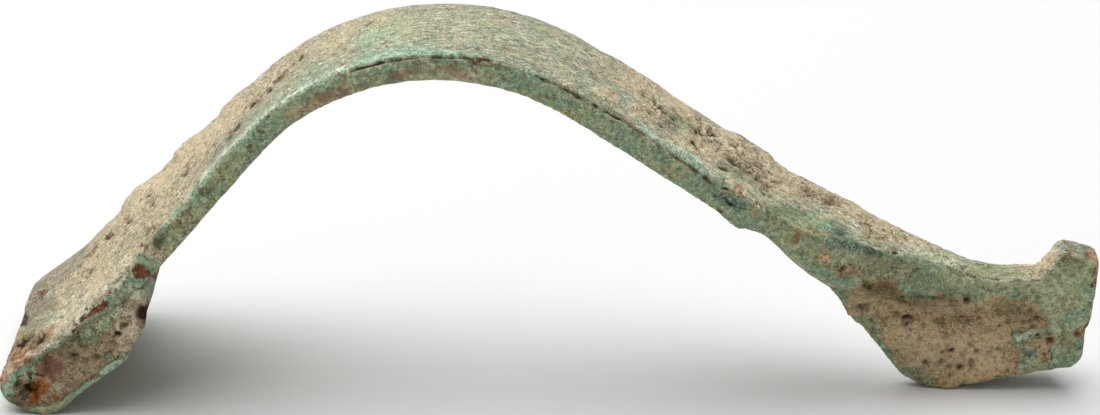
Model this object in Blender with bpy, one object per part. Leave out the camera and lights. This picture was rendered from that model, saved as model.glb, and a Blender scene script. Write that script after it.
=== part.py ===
"""Bow fibula: a hammered bronze strip bent into a bow, rolled into a hinge at one end and
drawn out into a foot with a catchplate at the other. The pin is lost. Rust of the hinge axis
and hard packed soil stay in the rolled head.

The brooch stands on its folded head and on the front corner of its catchplate.
X runs along the brooch from head to foot, Z is up, and the origin lies on the table below
the middle of the brooch.
"""

import math

import bmesh
import bpy
from mathutils import Matrix, Vector

MM = 0.001

# Overall size
LENGTH = 59.3 * MM
BOW_HEIGHT = 20.2 * MM

# The strip of the bow
BOW_WIDTH = 9.0 * MM
STRIP_THICKNESS = 1.4 * MM
BOW_END_THICKNESS = 1.65 * MM
STRIP_CAMBER = 0.15 * MM
EDGE_CHAMFER = 0.12 * MM
BOW_FAR_BEVEL = 0.5 * MM
FAR_BEVEL_DROP = 0.3 * MM
CROWN_SETBACK = 0.399 * LENGTH
CROWN_RADIUS = 14.4 * MM
BOW_END_SETBACK = 18.8 * MM

# The head: a plate wider than the bow, thinned and folded under round the hinge axis
HEAD_WIDTH = 14.6 * MM
HEAD_SHEET = 0.6 * MM
HEAD_FAR_BEVEL = 1.6 * MM
PLATE_SLOPE = math.radians(38)
KNEE_SETBACK = 2.8 * MM
KNEE_RADIUS = 8.0 * MM
FRONT_RADIUS = 1.0 * MM
HEEL_RADIUS = 1.15 * MM
HEEL_SETBACK = 2.35 * MM
UNDERSIDE_SLOPE = math.radians(24)
RETURN_SLOPE = math.radians(40)
RETURN_LENGTH = 5.85 * MM
THINNING_START = 2.7 * MM
THINNING_END = 6.2 * MM
SHOULDER_START = 6.4 * MM
SHOULDER_END = 14.6 * MM
REST_FLAT_DEPTH = 0.1 * MM
PIN_SLOT_WIDTH = 2.6 * MM

# The foot: a narrow bar with an upturned end
FOOT_WIDTH = 2.6 * MM
FOOT_DEPTH = 2.7 * MM
FOOT_ROUNDING = 0.2 * MM
FOOT_SLOPE = math.radians(19.9)
FOOT_RECESS = 0.12 * MM
FOOT_TOP_RECESS = 0.06 * MM
ANKLE_SETBACK = 16.25 * MM
ANKLE_RADIUS = 9.0 * MM
TOE_RADIUS = 7.0 * MM
TOE_SETBACK = 6.1 * MM
TOE_HEIGHT = 6.95 * MM
TOE_DEPTH = 1.8 * MM
TOE_ROUNDING = 1.2 * MM
NARROWING_END = 7.0 * MM
KNOB_SETBACK = 3.15 * MM
KNOB_RUN = 1.05 * MM
KNOB_RISE = 1.7 * MM
KNOB_FALL = 0.6 * MM
KNOB_RADIUS = 0.4 * MM
FOOT_END_LEAN = math.radians(4)

# The wedge under the foot where the wide bow draws in to the thin catchplate
WEDGE_DEPTH = 1.5 * MM
WEDGE_START_SETBACK = 20.3 * MM
WEDGE_DEEPEST_SETBACK = 15.5 * MM
WEDGE_END_SETBACK = 10.5 * MM

# The catchplate below the foot. Setbacks are measured from the end of the foot
CATCH_THICKNESS = 1.3 * MM
CATCH_START_SETBACK = 20.6 * MM
CATCH_BEND_SETBACK = 13.65 * MM
CATCH_BEND_HEIGHT = 4.8 * MM
CATCH_BEND_RADIUS = 3.0 * MM
CATCH_CHIN_SETBACK = 10.3 * MM
CATCH_CHIN_HEIGHT = 0.66 * MM
CATCH_CHIN_RADIUS = 0.4 * MM
CATCH_REST_SETBACK = 9.1 * MM
CATCH_REST_LENGTH = 1.1 * MM
CATCH_REST_RADIUS = 0.3 * MM
CATCH_HEEL_SETBACK = 0.6 * MM
CATCH_HEEL_HEIGHT = 1.58 * MM
CATCH_HEEL_RADIUS = 0.8 * MM
CATCH_END_INSET = 0.28 * MM

# The lip folded up on the catchplate's far side, which held the pin
LIP_GROOVE = 1.5 * MM
LIP_THICKNESS = 0.8 * MM
LIP_HEIGHT = 2.4 * MM
LIP_BEND_RADIUS = 1.2 * MM
LIP_START_SETBACK = 7.4 * MM
LIP_LENGTH = 6.2 * MM
LIP_LIFT = 0.06 * MM

# What is left in the head: the rusted axis and the soil packed round it
FILL_GAP = 0.1 * MM
AXIS_DIAMETER = 1.0 * MM
AXIS_RECESS = 0.5 * MM
BORE_WALL = 0.09 * MM
SOIL_RECESS = 0.25 * MM
SOIL_OVERHANG = 0.65 * MM
SOIL_BULGE = 0.5 * MM

# How finely bends and edges are divided, and where shading breaks
BEND_STEP = math.radians(5)
RUN_STEP = 0.8 * MM
CAMBER_STEPS = 6
ROUNDING_STEPS = 4
BULGE_STEPS = 6
AXIS_SIDES = 32
SHARP_ANGLE = math.radians(35)

HEAD_END = -LENGTH / 2
FOOT_END = LENGTH / 2


def heading(slope):
    """Unit vector in the side view, (along, up)."""
    return Vector((math.cos(slope), math.sin(slope)))


def left_of(direction):
    """The side of a line that faces out of the strip."""
    return Vector((-direction.y, direction.x))


def meet(point_a, direction_a, point_b, direction_b):
    """Where two lines of the side view cross."""
    across = left_of(direction_b)
    reach = (point_b - point_a).dot(across) / direction_a.dot(across)
    return point_a + direction_a * reach


def smooth_step(value, start, end):
    """0 before start, 1 after end, and an even S between."""
    share = min(max((value - start) / (end - start), 0.0), 1.0)
    return share * share * (3 - 2 * share)


def blend(value, start, end, before, after):
    return before + (after - before) * smooth_step(value, start, end)


def bent_line(corners):
    """Stations (point, direction) along straight runs joined by arcs.

    Each corner is (point, radius of its bend). The first and last corners are the ends.
    """
    stations = []
    cursor = corners[0][0]
    for (before, _), (corner, radius), (after, _) in zip(corners, corners[1:], corners[2:]):
        way_in = (corner - before).normalized()
        way_out = (after - corner).normalized()
        turn = math.atan2(way_in.x * way_out.y - way_in.y * way_out.x, way_in.dot(way_out))
        reach = radius * math.tan(abs(turn) / 2)
        arc_start = corner - way_in * reach
        add_run(stations, cursor, arc_start, way_in)
        side = left_of(way_in) * math.copysign(radius, turn)
        centre = arc_start + side
        steps = max(2, math.ceil(abs(turn) / BEND_STEP))
        for step in range(steps + 1):
            turned = Matrix.Rotation(turn * step / steps, 2)
            stations.append((centre - turned @ side, turned @ way_in))
        cursor = corner + way_out * reach
    add_run(stations, cursor, corners[-1][0], way_out)
    stations.append((corners[-1][0], way_out))
    return stations


def add_run(stations, start, end, direction):
    """Stations along a straight run, without its last point."""
    length = (end - start).dot(direction)
    steps = max(1, round(length / RUN_STEP))
    first = 1 if stations else 0
    for step in range(first, steps):
        stations.append((start + direction * (length * step / steps), direction))


def to_corner(radius, way_in, way_out):
    """From the centre of a right-hand bend to the corner it rounds."""
    out_a = left_of(way_in)
    out_b = left_of(way_out)
    return (out_a + out_b) * (radius / (1 + out_a.dot(out_b)))


def head_corners():
    """Corners of the strip's outer line from the tucked-under end to the knee."""
    returning = heading(math.pi + RETURN_SLOPE)
    underside = heading(math.pi - UNDERSIDE_SLOPE)
    plate = heading(PLATE_SLOPE)

    heel_centre = Vector((HEAD_END + HEEL_SETBACK, HEEL_RADIUS - REST_FLAT_DEPTH))
    heel = heel_centre + to_corner(HEEL_RADIUS, returning, underside)
    tucked_end = heel - returning * RETURN_LENGTH

    out = left_of(underside)
    front_x = HEAD_END + FRONT_RADIUS
    line_point = heel_centre + out * (HEEL_RADIUS - FRONT_RADIUS)
    front_centre = meet(line_point, underside, Vector((front_x, 0.0)), Vector((0.0, 1.0)))
    front = front_centre + to_corner(FRONT_RADIUS, underside, plate)
    knee = front + plate * ((HEAD_END + KNEE_SETBACK - front.x) / plate.x)
    return [
        (tucked_end, 0.0),
        (heel, HEEL_RADIUS),
        (front, FRONT_RADIUS),
        (knee, KNEE_RADIUS),
    ]


def foot_corners():
    """Corners of the top line from the ankle to the end of the foot."""
    toe = Vector((FOOT_END - TOE_SETBACK, TOE_HEIGHT))
    run = ANKLE_SETBACK - TOE_SETBACK
    ankle = toe + Vector((-run, run * math.tan(FOOT_SLOPE)))
    neck = Vector((FOOT_END - KNOB_SETBACK, TOE_HEIGHT))
    knob = neck + Vector((KNOB_RUN, KNOB_RISE))
    end = Vector((FOOT_END, knob.y - KNOB_FALL))
    return [
        (ankle, ANKLE_RADIUS),
        (toe, TOE_RADIUS),
        (neck, KNOB_RADIUS),
        (knob, KNOB_RADIUS),
        (end, 0.0),
    ]


def leg_heading(bend, crown_centre):
    """Heading of a leg that rises from a bend and just touches the top of the crown's circle."""
    reach = crown_centre - bend
    lift = math.copysign(math.asin(CROWN_RADIUS / reach.length), reach.x)
    return Matrix.Rotation(lift, 2) @ reach.normalized()


def crown_corner(knee, ankle):
    """Where the two legs would meet above the crown."""
    centre = Vector((HEAD_END + CROWN_SETBACK, BOW_HEIGHT - CROWN_RADIUS))
    return meet(knee, leg_heading(knee, centre), ankle, leg_heading(ankle, centre))


def blend_over_shoulder(x, on_head, on_bow):
    """A size that changes where the head plate draws in to the bow."""
    return blend(x, HEAD_END + SHOULDER_START, HEAD_END + SHOULDER_END, on_head, on_bow)


def half_width(x):
    """Half of the strip's width at a place along the brooch."""
    return blend_over_shoulder(x, HEAD_WIDTH, BOW_WIDTH) / 2


def sheet_thickness(point, direction):
    """The folded sheet is thin, the plate thickens into the bow, and the bow into the foot."""
    if direction.x < 0:
        return HEAD_SHEET
    thin_end = HEAD_END + THINNING_END
    bow_end = FOOT_END - BOW_END_SETBACK
    bow = blend(point.x, thin_end, bow_end, STRIP_THICKNESS, BOW_END_THICKNESS)
    return blend(point.x, HEAD_END + THINNING_START, thin_end, HEAD_SHEET, bow)


def far_bevel(x, direction):
    """The worn bevel on the far edge is broad on the head plate and narrow elsewhere."""
    on_top = min(max(direction.x / math.cos(PLATE_SLOPE), 0.0), 1.0)
    extra = blend_over_shoulder(x, HEAD_FAR_BEVEL, BOW_FAR_BEVEL) - BOW_FAR_BEVEL
    return BOW_FAR_BEVEL + extra * on_top


def height_on(stations, x):
    """Height of a line of stations at a place along the brooch."""
    for (a, _), (b, _) in zip(stations, stations[1:]):
        if a.x <= x <= b.x and b.x > a.x:
            return a.y + (b.y - a.y) * (x - a.x) / (b.x - a.x)
    return stations[-1][0].y


def strip_section(half, thickness, bevel, camber):
    """The strip's cross-section as (across, depth) pairs, near side first."""
    left = -half + EDGE_CHAMFER
    right = half - bevel
    section = [(-half, EDGE_CHAMFER)]
    for step in range(CAMBER_STEPS + 1):
        share = step / CAMBER_STEPS
        rise = camber * 4 * share * (1 - share)
        section.append((left + (right - left) * share, -rise))
    section += [(half, FAR_BEVEL_DROP), (half, thickness - EDGE_CHAMFER)]
    section += [(half - EDGE_CHAMFER, thickness), (left, thickness)]
    section.append((-half, thickness - EDGE_CHAMFER))
    return section


def place(station, section):
    """Stand a section up across the strip's outer line."""
    point, direction = station
    inward = -left_of(direction)
    ring = []
    for y, depth in section:
        spot = point + inward * depth
        ring.append(Vector((spot.x, y, spot.y)))
    return ring


def loft(rings):
    """Draw a face through every ring in turn and close both ends."""
    bm = bmesh.new()
    face = bm.faces.new([bm.verts.new(spot) for spot in rings[0]])
    for ring in rings[1:]:
        result = bmesh.ops.extrude_discrete_faces(bm, faces=[face])
        face = result["faces"][0]
        for vert, spot in zip(face.verts, ring):
            vert.co = spot
    bmesh.ops.holes_fill(bm, edges=bm.edges)
    bmesh.ops.recalc_face_normals(bm, faces=bm.faces)
    return bm


def slab(outline, thickness):
    """Extrude a side-view outline evenly to both sides of the middle."""
    bm = bmesh.new()
    face = bm.faces.new([bm.verts.new((spot.x, -thickness / 2, spot.y)) for spot in outline])
    result = bmesh.ops.extrude_face_region(bm, geom=[face])
    for vert in [item for item in result["geom"] if isinstance(item, bmesh.types.BMVert)]:
        vert.co.y = -vert.co.y
    bmesh.ops.recalc_face_normals(bm, faces=bm.faces)
    return bm


def cut_away(bm, point, outward):
    """Cut the form off flat at a plane and close the cut."""
    geometry = bm.verts[:] + bm.edges[:] + bm.faces[:]
    bmesh.ops.bisect_plane(
        bm, geom=geometry, plane_co=point, plane_no=outward, clear_outer=True
    )
    bmesh.ops.holes_fill(bm, edges=bm.edges)
    bmesh.ops.recalc_face_normals(bm, faces=bm.faces)


def finish(name, bm, colour=None, roughness=0.8, metallic=0.0):
    """Make the object, with its own material, or as a hidden helper when it has no colour."""
    mesh = bpy.data.meshes.new(name)
    bm.to_mesh(mesh)
    bm.free()
    piece = bpy.data.objects.new(name, mesh)
    bpy.context.scene.collection.objects.link(piece)
    if colour is None:
        piece.hide_render = True
        piece.display_type = "WIRE"
        return piece
    material = bpy.data.materials.new(name)
    material.use_nodes = True
    shader = material.node_tree.nodes["Principled BSDF"]
    shader.inputs["Base Color"].default_value = (*colour, 1.0)
    shader.inputs["Roughness"].default_value = roughness
    shader.inputs["Metallic"].default_value = metallic
    mesh.materials.append(material)
    mesh.shade_smooth()
    mesh.set_sharp_from_angle(angle=SHARP_ANGLE)
    return piece


def combine(piece, helper, operation):
    """Join a helper to a piece, or cut it out."""
    modifier = piece.modifiers.new(helper.name, "BOOLEAN")
    modifier.operation = operation
    modifier.object = helper
    modifier.solver = "EXACT"


def make_strip(line):
    """Bow and folded head in one sweep along the outer line."""
    end_x = FOOT_END - BOW_END_SETBACK
    kept = [station for station in line if station[1].x < 0 or station[0].x < end_x]
    end_direction = kept[-1][1]
    kept.append((Vector((end_x, height_on(line, end_x))), end_direction))
    rings = []
    for station in kept:
        x = HEAD_END if station[1].x < 0 else station[0].x
        bevel = far_bevel(x, station[1])
        camber = blend_over_shoulder(x, 0.0, STRIP_CAMBER)
        section = strip_section(half_width(x), sheet_thickness(*station), bevel, camber)
        rings.append(place(station, section))
    bm = loft(rings)
    cut_away(bm, (0, 0, 0), (0, 0, -1))
    return finish("fibula_strip", bm, (0.22, 0.3, 0.2), 0.75, 0.15)


def foot_half_width(x):
    start = FOOT_END - BOW_END_SETBACK
    end = FOOT_END - NARROWING_END
    return blend(x, start, end, BOW_WIDTH / 2 - FOOT_RECESS, FOOT_WIDTH / 2)


def along_toe(x, before, after):
    """A size that changes between the end of the wedge and the toe."""
    return blend(x, FOOT_END - WEDGE_END_SETBACK, FOOT_END - TOE_SETBACK, before, after)


def bar_depth(x):
    """Height of the bar's upright sides, which shallow out towards the toe."""
    start = FOOT_END - BOW_END_SETBACK
    end = FOOT_END - WEDGE_END_SETBACK
    bar = blend(x, start, end, BOW_END_THICKNESS - FOOT_RECESS, FOOT_DEPTH)
    return bar + along_toe(x, 0.0, TOE_DEPTH - FOOT_DEPTH)


def wedge_depth(x):
    """How far the rounded underside reaches below the bar's sides, deepest at the wedge."""
    start = FOOT_END - WEDGE_START_SETBACK
    deepest = FOOT_END - WEDGE_DEEPEST_SETBACK
    end = FOOT_END - WEDGE_END_SETBACK
    swell = smooth_step(x, start, deepest) * (1 - smooth_step(x, deepest, end))
    return along_toe(x, FOOT_ROUNDING, TOE_ROUNDING) + swell * WEDGE_DEPTH


def foot_section(x, top, bottom, low):
    """The bar's sides stand upright and then draw in, rounded, to the catchplate."""
    half = foot_half_width(x)
    keel = CATCH_THICKNESS / 2 - FOOT_RECESS
    near = [(-half + EDGE_CHAMFER, top), (-half, top - EDGE_CHAMFER)]
    for step in range(ROUNDING_STEPS + 1):
        angle = math.radians(90) * step / ROUNDING_STEPS
        across = keel + (half - keel) * math.cos(angle)
        near.append((-across, bottom - (bottom - low) * math.sin(angle)))
    far = [(-across, height) for across, height in reversed(near)]
    return [Vector((x, across, height)) for across, height in near + far]


def make_foot(top_line, bar_line):
    """The bar of the foot with its knob, and the wedge under it where it leaves the bow."""
    start = FOOT_END - WEDGE_START_SETBACK
    places = sorted({point.x for point, _ in top_line if point.x > start} | {start})
    rings = []
    for x in places:
        top = height_on(top_line, x) - FOOT_TOP_RECESS
        bottom = height_on(bar_line, x) - bar_depth(x)
        rings.append(foot_section(x, top, bottom, bottom - wedge_depth(x)))
    bm = loft(rings)
    knob_top = (FOOT_END, 0, TOE_HEIGHT + KNOB_RISE - KNOB_FALL)
    cut_away(bm, knob_top, (math.cos(FOOT_END_LEAN), 0, -math.sin(FOOT_END_LEAN)))
    return finish("foot_bar", bm)


def make_catchplate(bar_line):
    """A thin plate in the middle of the foot, with its upper edge buried in the bar."""
    start_x = FOOT_END - CATCH_START_SETBACK
    start_height = height_on(bar_line, start_x) - bar_depth(start_x) / 2
    rows = [
        (CATCH_START_SETBACK, start_height, 0.0),
        (CATCH_BEND_SETBACK, CATCH_BEND_HEIGHT, CATCH_BEND_RADIUS),
        (CATCH_CHIN_SETBACK, CATCH_CHIN_HEIGHT, CATCH_CHIN_RADIUS),
        (CATCH_REST_SETBACK, 0.0, CATCH_REST_RADIUS),
        (CATCH_REST_SETBACK - CATCH_REST_LENGTH, 0.0, CATCH_REST_RADIUS),
        (CATCH_HEEL_SETBACK, CATCH_HEEL_HEIGHT, CATCH_HEEL_RADIUS),
        (CATCH_END_INSET, TOE_HEIGHT - TOE_DEPTH / 2, 0.0),
    ]
    corners = [(Vector((FOOT_END - setback, height)), radius) for setback, height, radius in rows]
    outline = [point for point, _ in bent_line(corners)]
    first = outline[0].x
    last = outline[-1].x
    for point, _ in reversed(bar_line):
        if first < point.x < last:
            outline.append(Vector((point.x, point.y - bar_depth(point.x) / 2)))
    return finish("catchplate", slab(outline, CATCH_THICKNESS))


def make_lip():
    """The folded lip, drawn across and then run along the catchplate's lower edge."""
    start = Vector((FOOT_END - LIP_START_SETBACK, 0.0))
    rest_end = Vector((FOOT_END - CATCH_REST_SETBACK + CATCH_REST_LENGTH, 0.0))
    heel = Vector((FOOT_END - CATCH_HEEL_SETBACK, CATCH_HEEL_HEIGHT))
    along = (heel - rest_end).normalized()
    start = rest_end + along * ((start.x - rest_end.x) / along.x)
    outer = CATCH_THICKNESS / 2 + LIP_GROOVE + LIP_THICKNESS
    corners = [
        (Vector((0.0, LIP_LIFT)), 0.0),
        (Vector((outer, LIP_LIFT)), LIP_BEND_RADIUS),
        (Vector((outer, LIP_LIFT + LIP_HEIGHT)), 0.0),
    ]
    fold = bent_line(corners)
    profile = [point for point, _ in fold]
    profile += [point + left_of(direction) * LIP_THICKNESS for point, direction in reversed(fold)]
    rings = []
    for reach in (0.0, LIP_LENGTH):
        foot = start + along * reach
        rings.append([Vector((foot.x, spot.x, foot.y + spot.y)) for spot in profile])
    return finish("catch_lip", loft(rings))


def make_pin_slot(line):
    """The notch through the folded-under sheet, as far as the front bend, for the lost pin."""
    steepest = math.sin(UNDERSIDE_SLOPE + BEND_STEP / 2)
    run = [station for station in line if station[1].x < 0 and station[1].y < steepest]
    depth = HEAD_SHEET + FILL_GAP / 2
    outline = [point - left_of(direction) * depth for point, direction in run]
    outline += [point + left_of(direction) * HEAD_SHEET for point, direction in reversed(run)]
    return finish("pin_slot", slab(outline, PIN_SLOT_WIDTH))


def fold_interior(line):
    """Side-view outline of the space inside the folded head, a gap clear of the sheet.

    It starts at the tucked-under end and stops a little past it on the plate's underside.
    """
    end_x = line[0][0].x + SOIL_OVERHANG
    outline = []
    for point, direction in line:
        depth = sheet_thickness(point, direction) + FILL_GAP
        spot = point - left_of(direction) * depth
        if direction.x > 0 and spot.x > end_x:
            last = outline[-1]
            outline.append(last.lerp(spot, (end_x - last.x) / (spot.x - last.x)))
            break
        outline.append(spot)
    return outline


def axis_centre(front):
    """The axis lies in the front bend, clear of the sheet by a wall of soil."""
    clearance = HEAD_SHEET + FILL_GAP + BORE_WALL + FILL_GAP + AXIS_DIAMETER / 2
    underside = heading(math.pi - UNDERSIDE_SLOPE)
    return front - to_corner(clearance, underside, heading(PLATE_SLOPE))


def make_soil(line, centre):
    """Hard soil that fills the fold and bulges a little out of its open side."""
    outline = fold_interior(line)
    lower = outline[0]
    upper = outline[-1]
    edge = lower - upper
    out = left_of(edge.normalized())
    for step in range(1, BULGE_STEPS):
        share = step / BULGE_STEPS
        outline.append(upper + edge * share + out * SOIL_BULGE * math.sin(math.pi * share))
    soil = finish(
        "packed_soil",
        slab(outline, HEAD_WIDTH - 2 * SOIL_RECESS),
        (0.36, 0.28, 0.18),
        0.95,
    )
    bore = make_rod("axis_bore", centre, AXIS_DIAMETER / 2 + FILL_GAP, HEAD_WIDTH)
    combine(soil, bore, "DIFFERENCE")
    return soil


def make_rod(name, centre, radius, length, colour=None):
    """A round rod that lies across the brooch."""
    bm = bmesh.new()
    turn = Matrix.Rotation(math.radians(90), 4, "X")
    shift = Matrix.Translation((centre.x, 0.0, centre.y))
    bmesh.ops.create_cone(
        bm, cap_ends=True, segments=AXIS_SIDES, radius1=radius, radius2=radius,
        depth=length, matrix=shift @ turn,
    )
    return finish(name, bm, colour, 0.9)


def main():
    for item in list(bpy.data.objects):
        bpy.data.objects.remove(item, do_unlink=True)
    head = head_corners()
    foot = foot_corners()
    crown = (crown_corner(head[-1][0], foot[0][0]), CROWN_RADIUS)
    line = bent_line(head + [crown] + foot)
    level_end = (Vector((FOOT_END, TOE_HEIGHT)), 0.0)
    bar_line = bent_line(head + [crown] + foot[:2] + [level_end])
    strip = make_strip(line)
    combine(strip, make_foot(line, bar_line), "UNION")
    combine(strip, make_catchplate(bar_line), "UNION")
    combine(strip, make_lip(), "UNION")
    combine(strip, make_pin_slot(line), "DIFFERENCE")
    centre = axis_centre(head[2][0])
    make_soil(line, centre)
    axis_length = HEAD_WIDTH - 2 * AXIS_RECESS
    make_rod("hinge_axis", centre, AXIS_DIAMETER / 2, axis_length, (0.32, 0.13, 0.04))


main()
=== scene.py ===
# %% [markdown]
# # A dug-up bow fibula, dressed for its photograph
# The brooch is a flat bronze strip bent into a bow. Its head is folded round a hinge axis and is still full
# of soil, and its foot carries a thin catchplate. This notebook keeps the measured solids as they are and
# grows a corroded skin on copies of them. First come the solids.

# %% Load the solids
import math

import bmesh
import bpy
import numpy as np
from mathutils import Matrix, Vector
from mathutils.bvhtree import BVHTree
from mathutils.kdtree import KDTree


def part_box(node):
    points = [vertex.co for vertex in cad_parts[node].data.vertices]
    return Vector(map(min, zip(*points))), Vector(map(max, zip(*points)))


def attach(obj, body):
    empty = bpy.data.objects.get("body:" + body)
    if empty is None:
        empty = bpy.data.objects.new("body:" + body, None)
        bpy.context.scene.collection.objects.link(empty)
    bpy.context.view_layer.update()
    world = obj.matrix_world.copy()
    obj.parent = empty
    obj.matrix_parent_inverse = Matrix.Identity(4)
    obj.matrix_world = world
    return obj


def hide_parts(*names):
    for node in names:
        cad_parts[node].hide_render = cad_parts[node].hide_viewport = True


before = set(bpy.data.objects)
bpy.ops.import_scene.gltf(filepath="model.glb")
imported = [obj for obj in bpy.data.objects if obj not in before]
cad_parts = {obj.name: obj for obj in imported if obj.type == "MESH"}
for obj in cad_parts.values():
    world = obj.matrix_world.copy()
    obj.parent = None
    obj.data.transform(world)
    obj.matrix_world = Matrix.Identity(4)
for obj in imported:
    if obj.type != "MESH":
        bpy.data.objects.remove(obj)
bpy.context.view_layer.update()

MM = 0.001
scene = bpy.context.scene
print("solids:", ", ".join(sorted(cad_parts)))

# %% [markdown]
# ## The camera
# The photograph looks down on the brooch from in front, from a little way off. A long lens keeps the two
# ends nearly the same size. The camera comes first, because the spots of soil and corrosion are later placed
# by looking through it.

# %% Stand the camera where the photograph was taken
PHOTO_WIDTH = 1100
PHOTO_HEIGHT = 415
SENSOR_WIDTH = 36.0
PIXELS_PER_MM = 18.33
CAMERA_DISTANCE = 240.0 * MM
CAMERA_ELEVATION = math.radians(22)
CAMERA_AZIMUTH = math.radians(1)
CAMERA_ROLL = math.radians(1.2)
AIM = Vector((-0.365, 0.0, 9.91)) * MM
NEAREST_SHARE = 0.1
FARTHEST_SHARE = 50


def camera_axes():
    """The camera's right, up and backward directions."""
    level = math.cos(CAMERA_ELEVATION)
    back = Vector((
        math.sin(CAMERA_AZIMUTH) * level,
        -math.cos(CAMERA_AZIMUTH) * level,
        math.sin(CAMERA_ELEVATION),
    ))
    right = Vector((math.cos(CAMERA_AZIMUTH), math.sin(CAMERA_AZIMUTH), 0.0))
    roll = Matrix.Rotation(CAMERA_ROLL, 3, back)
    return roll @ right, roll @ back.cross(right), back


right, up, back = camera_axes()
lens = bpy.data.cameras.new("photo_lens")
lens.sensor_width = SENSOR_WIDTH
lens.lens = SENSOR_WIDTH * PIXELS_PER_MM * CAMERA_DISTANCE / MM / PHOTO_WIDTH
lens.clip_start = CAMERA_DISTANCE * NEAREST_SHARE
lens.clip_end = CAMERA_DISTANCE * FARTHEST_SHARE
camera = bpy.data.objects.new("camera", lens)
scene.collection.objects.link(camera)
turn = Matrix((right, up, back)).transposed().to_4x4()
camera.matrix_world = Matrix.Translation(AIM + back * CAMERA_DISTANCE) @ turn
scene.camera = camera
print("lens", round(lens.lens, 1), "mm")

# %% [markdown]
# ## Floor and light
# The photograph is a high-key studio shot: white ground, one broad soft light above, and fill from all
# round. A wide floor, a large area light, a faint one in front and a pale world give the same. The view
# transform is set to Standard, so that a white floor stays white and the colours are the ones written here.

# %% Lay the floor and hang the lights
FLOOR_SIZE = 4.0
WORLD_STRENGTH = 0.3
WHITE = (1.0, 1.0, 1.0, 1.0)
scene.view_settings.view_transform = "Standard"

bm = bmesh.new()
bmesh.ops.create_grid(bm, x_segments=1, y_segments=1, size=FLOOR_SIZE / 2)
floor_mesh = bpy.data.meshes.new("floor")
bm.to_mesh(floor_mesh)
bm.free()
floor = bpy.data.objects.new("floor", floor_mesh)
scene.collection.objects.link(floor)

world = bpy.data.worlds.new("studio")
world.use_nodes = True
world.node_tree.nodes["Background"].inputs["Color"].default_value = WHITE
world.node_tree.nodes["Background"].inputs["Strength"].default_value = WORLD_STRENGTH
scene.world = world


def soft_light(name, place, size, power):
    """A square light that faces the brooch."""
    data = bpy.data.lights.new(name, "AREA")
    data.size = size
    data.energy = power
    light = bpy.data.objects.new(name, data)
    light.location = place
    light.rotation_euler = (AIM - Vector(place)).to_track_quat("-Z", "Y").to_euler()
    scene.collection.objects.link(light)


soft_light("top_light", place=(-0.1, 0.1, 0.55), size=0.8, power=6.2)
soft_light("front_light", place=(-0.35, -0.4, 0.25), size=0.3, power=0.1)

# %% [markdown]
# ## A fine skin for each solid
# Corrosion is far too fine for the solids. A voxel remesh turns a copy of each solid into an even net of
# small squares, which can then be pushed and pulled like clay. It also rounds the edges by about one voxel,
# as wear does. The copy's loose triangles are merged first, because a remesh needs a closed surface. Last,
# the squares that face the camera are cut into four, so that the finest net lies where it is looked at.

# %% Copy, merge and remesh
SKIN_GRAIN = 0.25 * MM
FILL_GRAIN = 0.16 * MM
AXIS_GRAIN = 0.1 * MM
MERGE_REACH = 0.001 * MM
TURNED_AWAY = -0.05


def merged_copy(node):
    """The solid of a node as one closed bmesh."""
    bm = bmesh.new()
    bm.from_mesh(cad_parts[node].data)
    bmesh.ops.remove_doubles(bm, verts=bm.verts, dist=MERGE_REACH)
    return bm


def soften(bm, passes):
    """Relax a net of squares, so that the steps of the remesh go."""
    for _ in range(passes):
        bmesh.ops.smooth_vert(
            bm, verts=bm.verts, factor=0.5, use_axis_x=True, use_axis_y=True, use_axis_z=True
        )


def refine_where_seen(bm):
    """Cut the squares that face the camera into four, so that the net is finest where it is looked at."""
    bm.normal_update()
    eye = AIM + back * CAMERA_DISTANCE
    facing = {vert for vert in bm.verts if vert.normal.dot((eye - vert.co).normalized()) > TURNED_AWAY}
    edges = [edge for edge in bm.edges if edge.verts[0] in facing and edge.verts[1] in facing]
    bmesh.ops.subdivide_edges(bm, edges=edges, cuts=1, use_grid_fill=True)


def fine_skin(name, node, grain, passes):
    """A new piece with the node's shape in an even net of squares, softened a little."""
    bm = merged_copy(node)
    rough = bpy.data.meshes.new(name + "_rough")
    bm.to_mesh(rough)
    bm.free()
    piece = bpy.data.objects.new(name, rough)
    scene.collection.objects.link(piece)
    remesh = piece.modifiers.new("even_net", "REMESH")
    remesh.mode = "VOXEL"
    remesh.voxel_size = grain
    depsgraph = bpy.context.evaluated_depsgraph_get()
    fine = bpy.data.meshes.new_from_object(piece.evaluated_get(depsgraph))
    piece.modifiers.clear()
    bm = bmesh.new()
    bm.from_mesh(fine)
    soften(bm, passes)
    refine_where_seen(bm)
    soften(bm, 1)
    bm.to_mesh(fine)
    bm.free()
    fine.name = name
    fine.shade_smooth()
    piece.data = fine
    bpy.data.meshes.remove(rough)
    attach(piece, "root")
    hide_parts(node)
    fine.calc_loop_triangles()
    print(name, "has", len(fine.loop_triangles), "triangles")
    return piece


strip = fine_skin("corroded_strip", "fibula_strip", SKIN_GRAIN, passes=2)
fill = fine_skin("soil_fill", "packed_soil", FILL_GRAIN, passes=2)
axis = fine_skin("rusted_axis", "hinge_axis", AXIS_GRAIN, passes=1)

# %% [markdown]
# ## Noise for the relief
# Soil and corrosion have no plan, but they have sizes. This noise lays random values on a lattice and
# blends between them, and adds finer and finer layers. It works on all the points of a skin at once.

# %% Cloud noise
LATTICE = 48
lattice = np.random.default_rng(11).uniform(-1, 1, (LATTICE, LATTICE, LATTICE)).astype(np.float32)
SEED_SHIFT = 7.31
FINER = 2.03
LAYER_TURN = np.array(Matrix.Rotation(0.7, 3, Vector((1.0, 2.0, 3.0))), dtype=np.float32)


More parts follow.
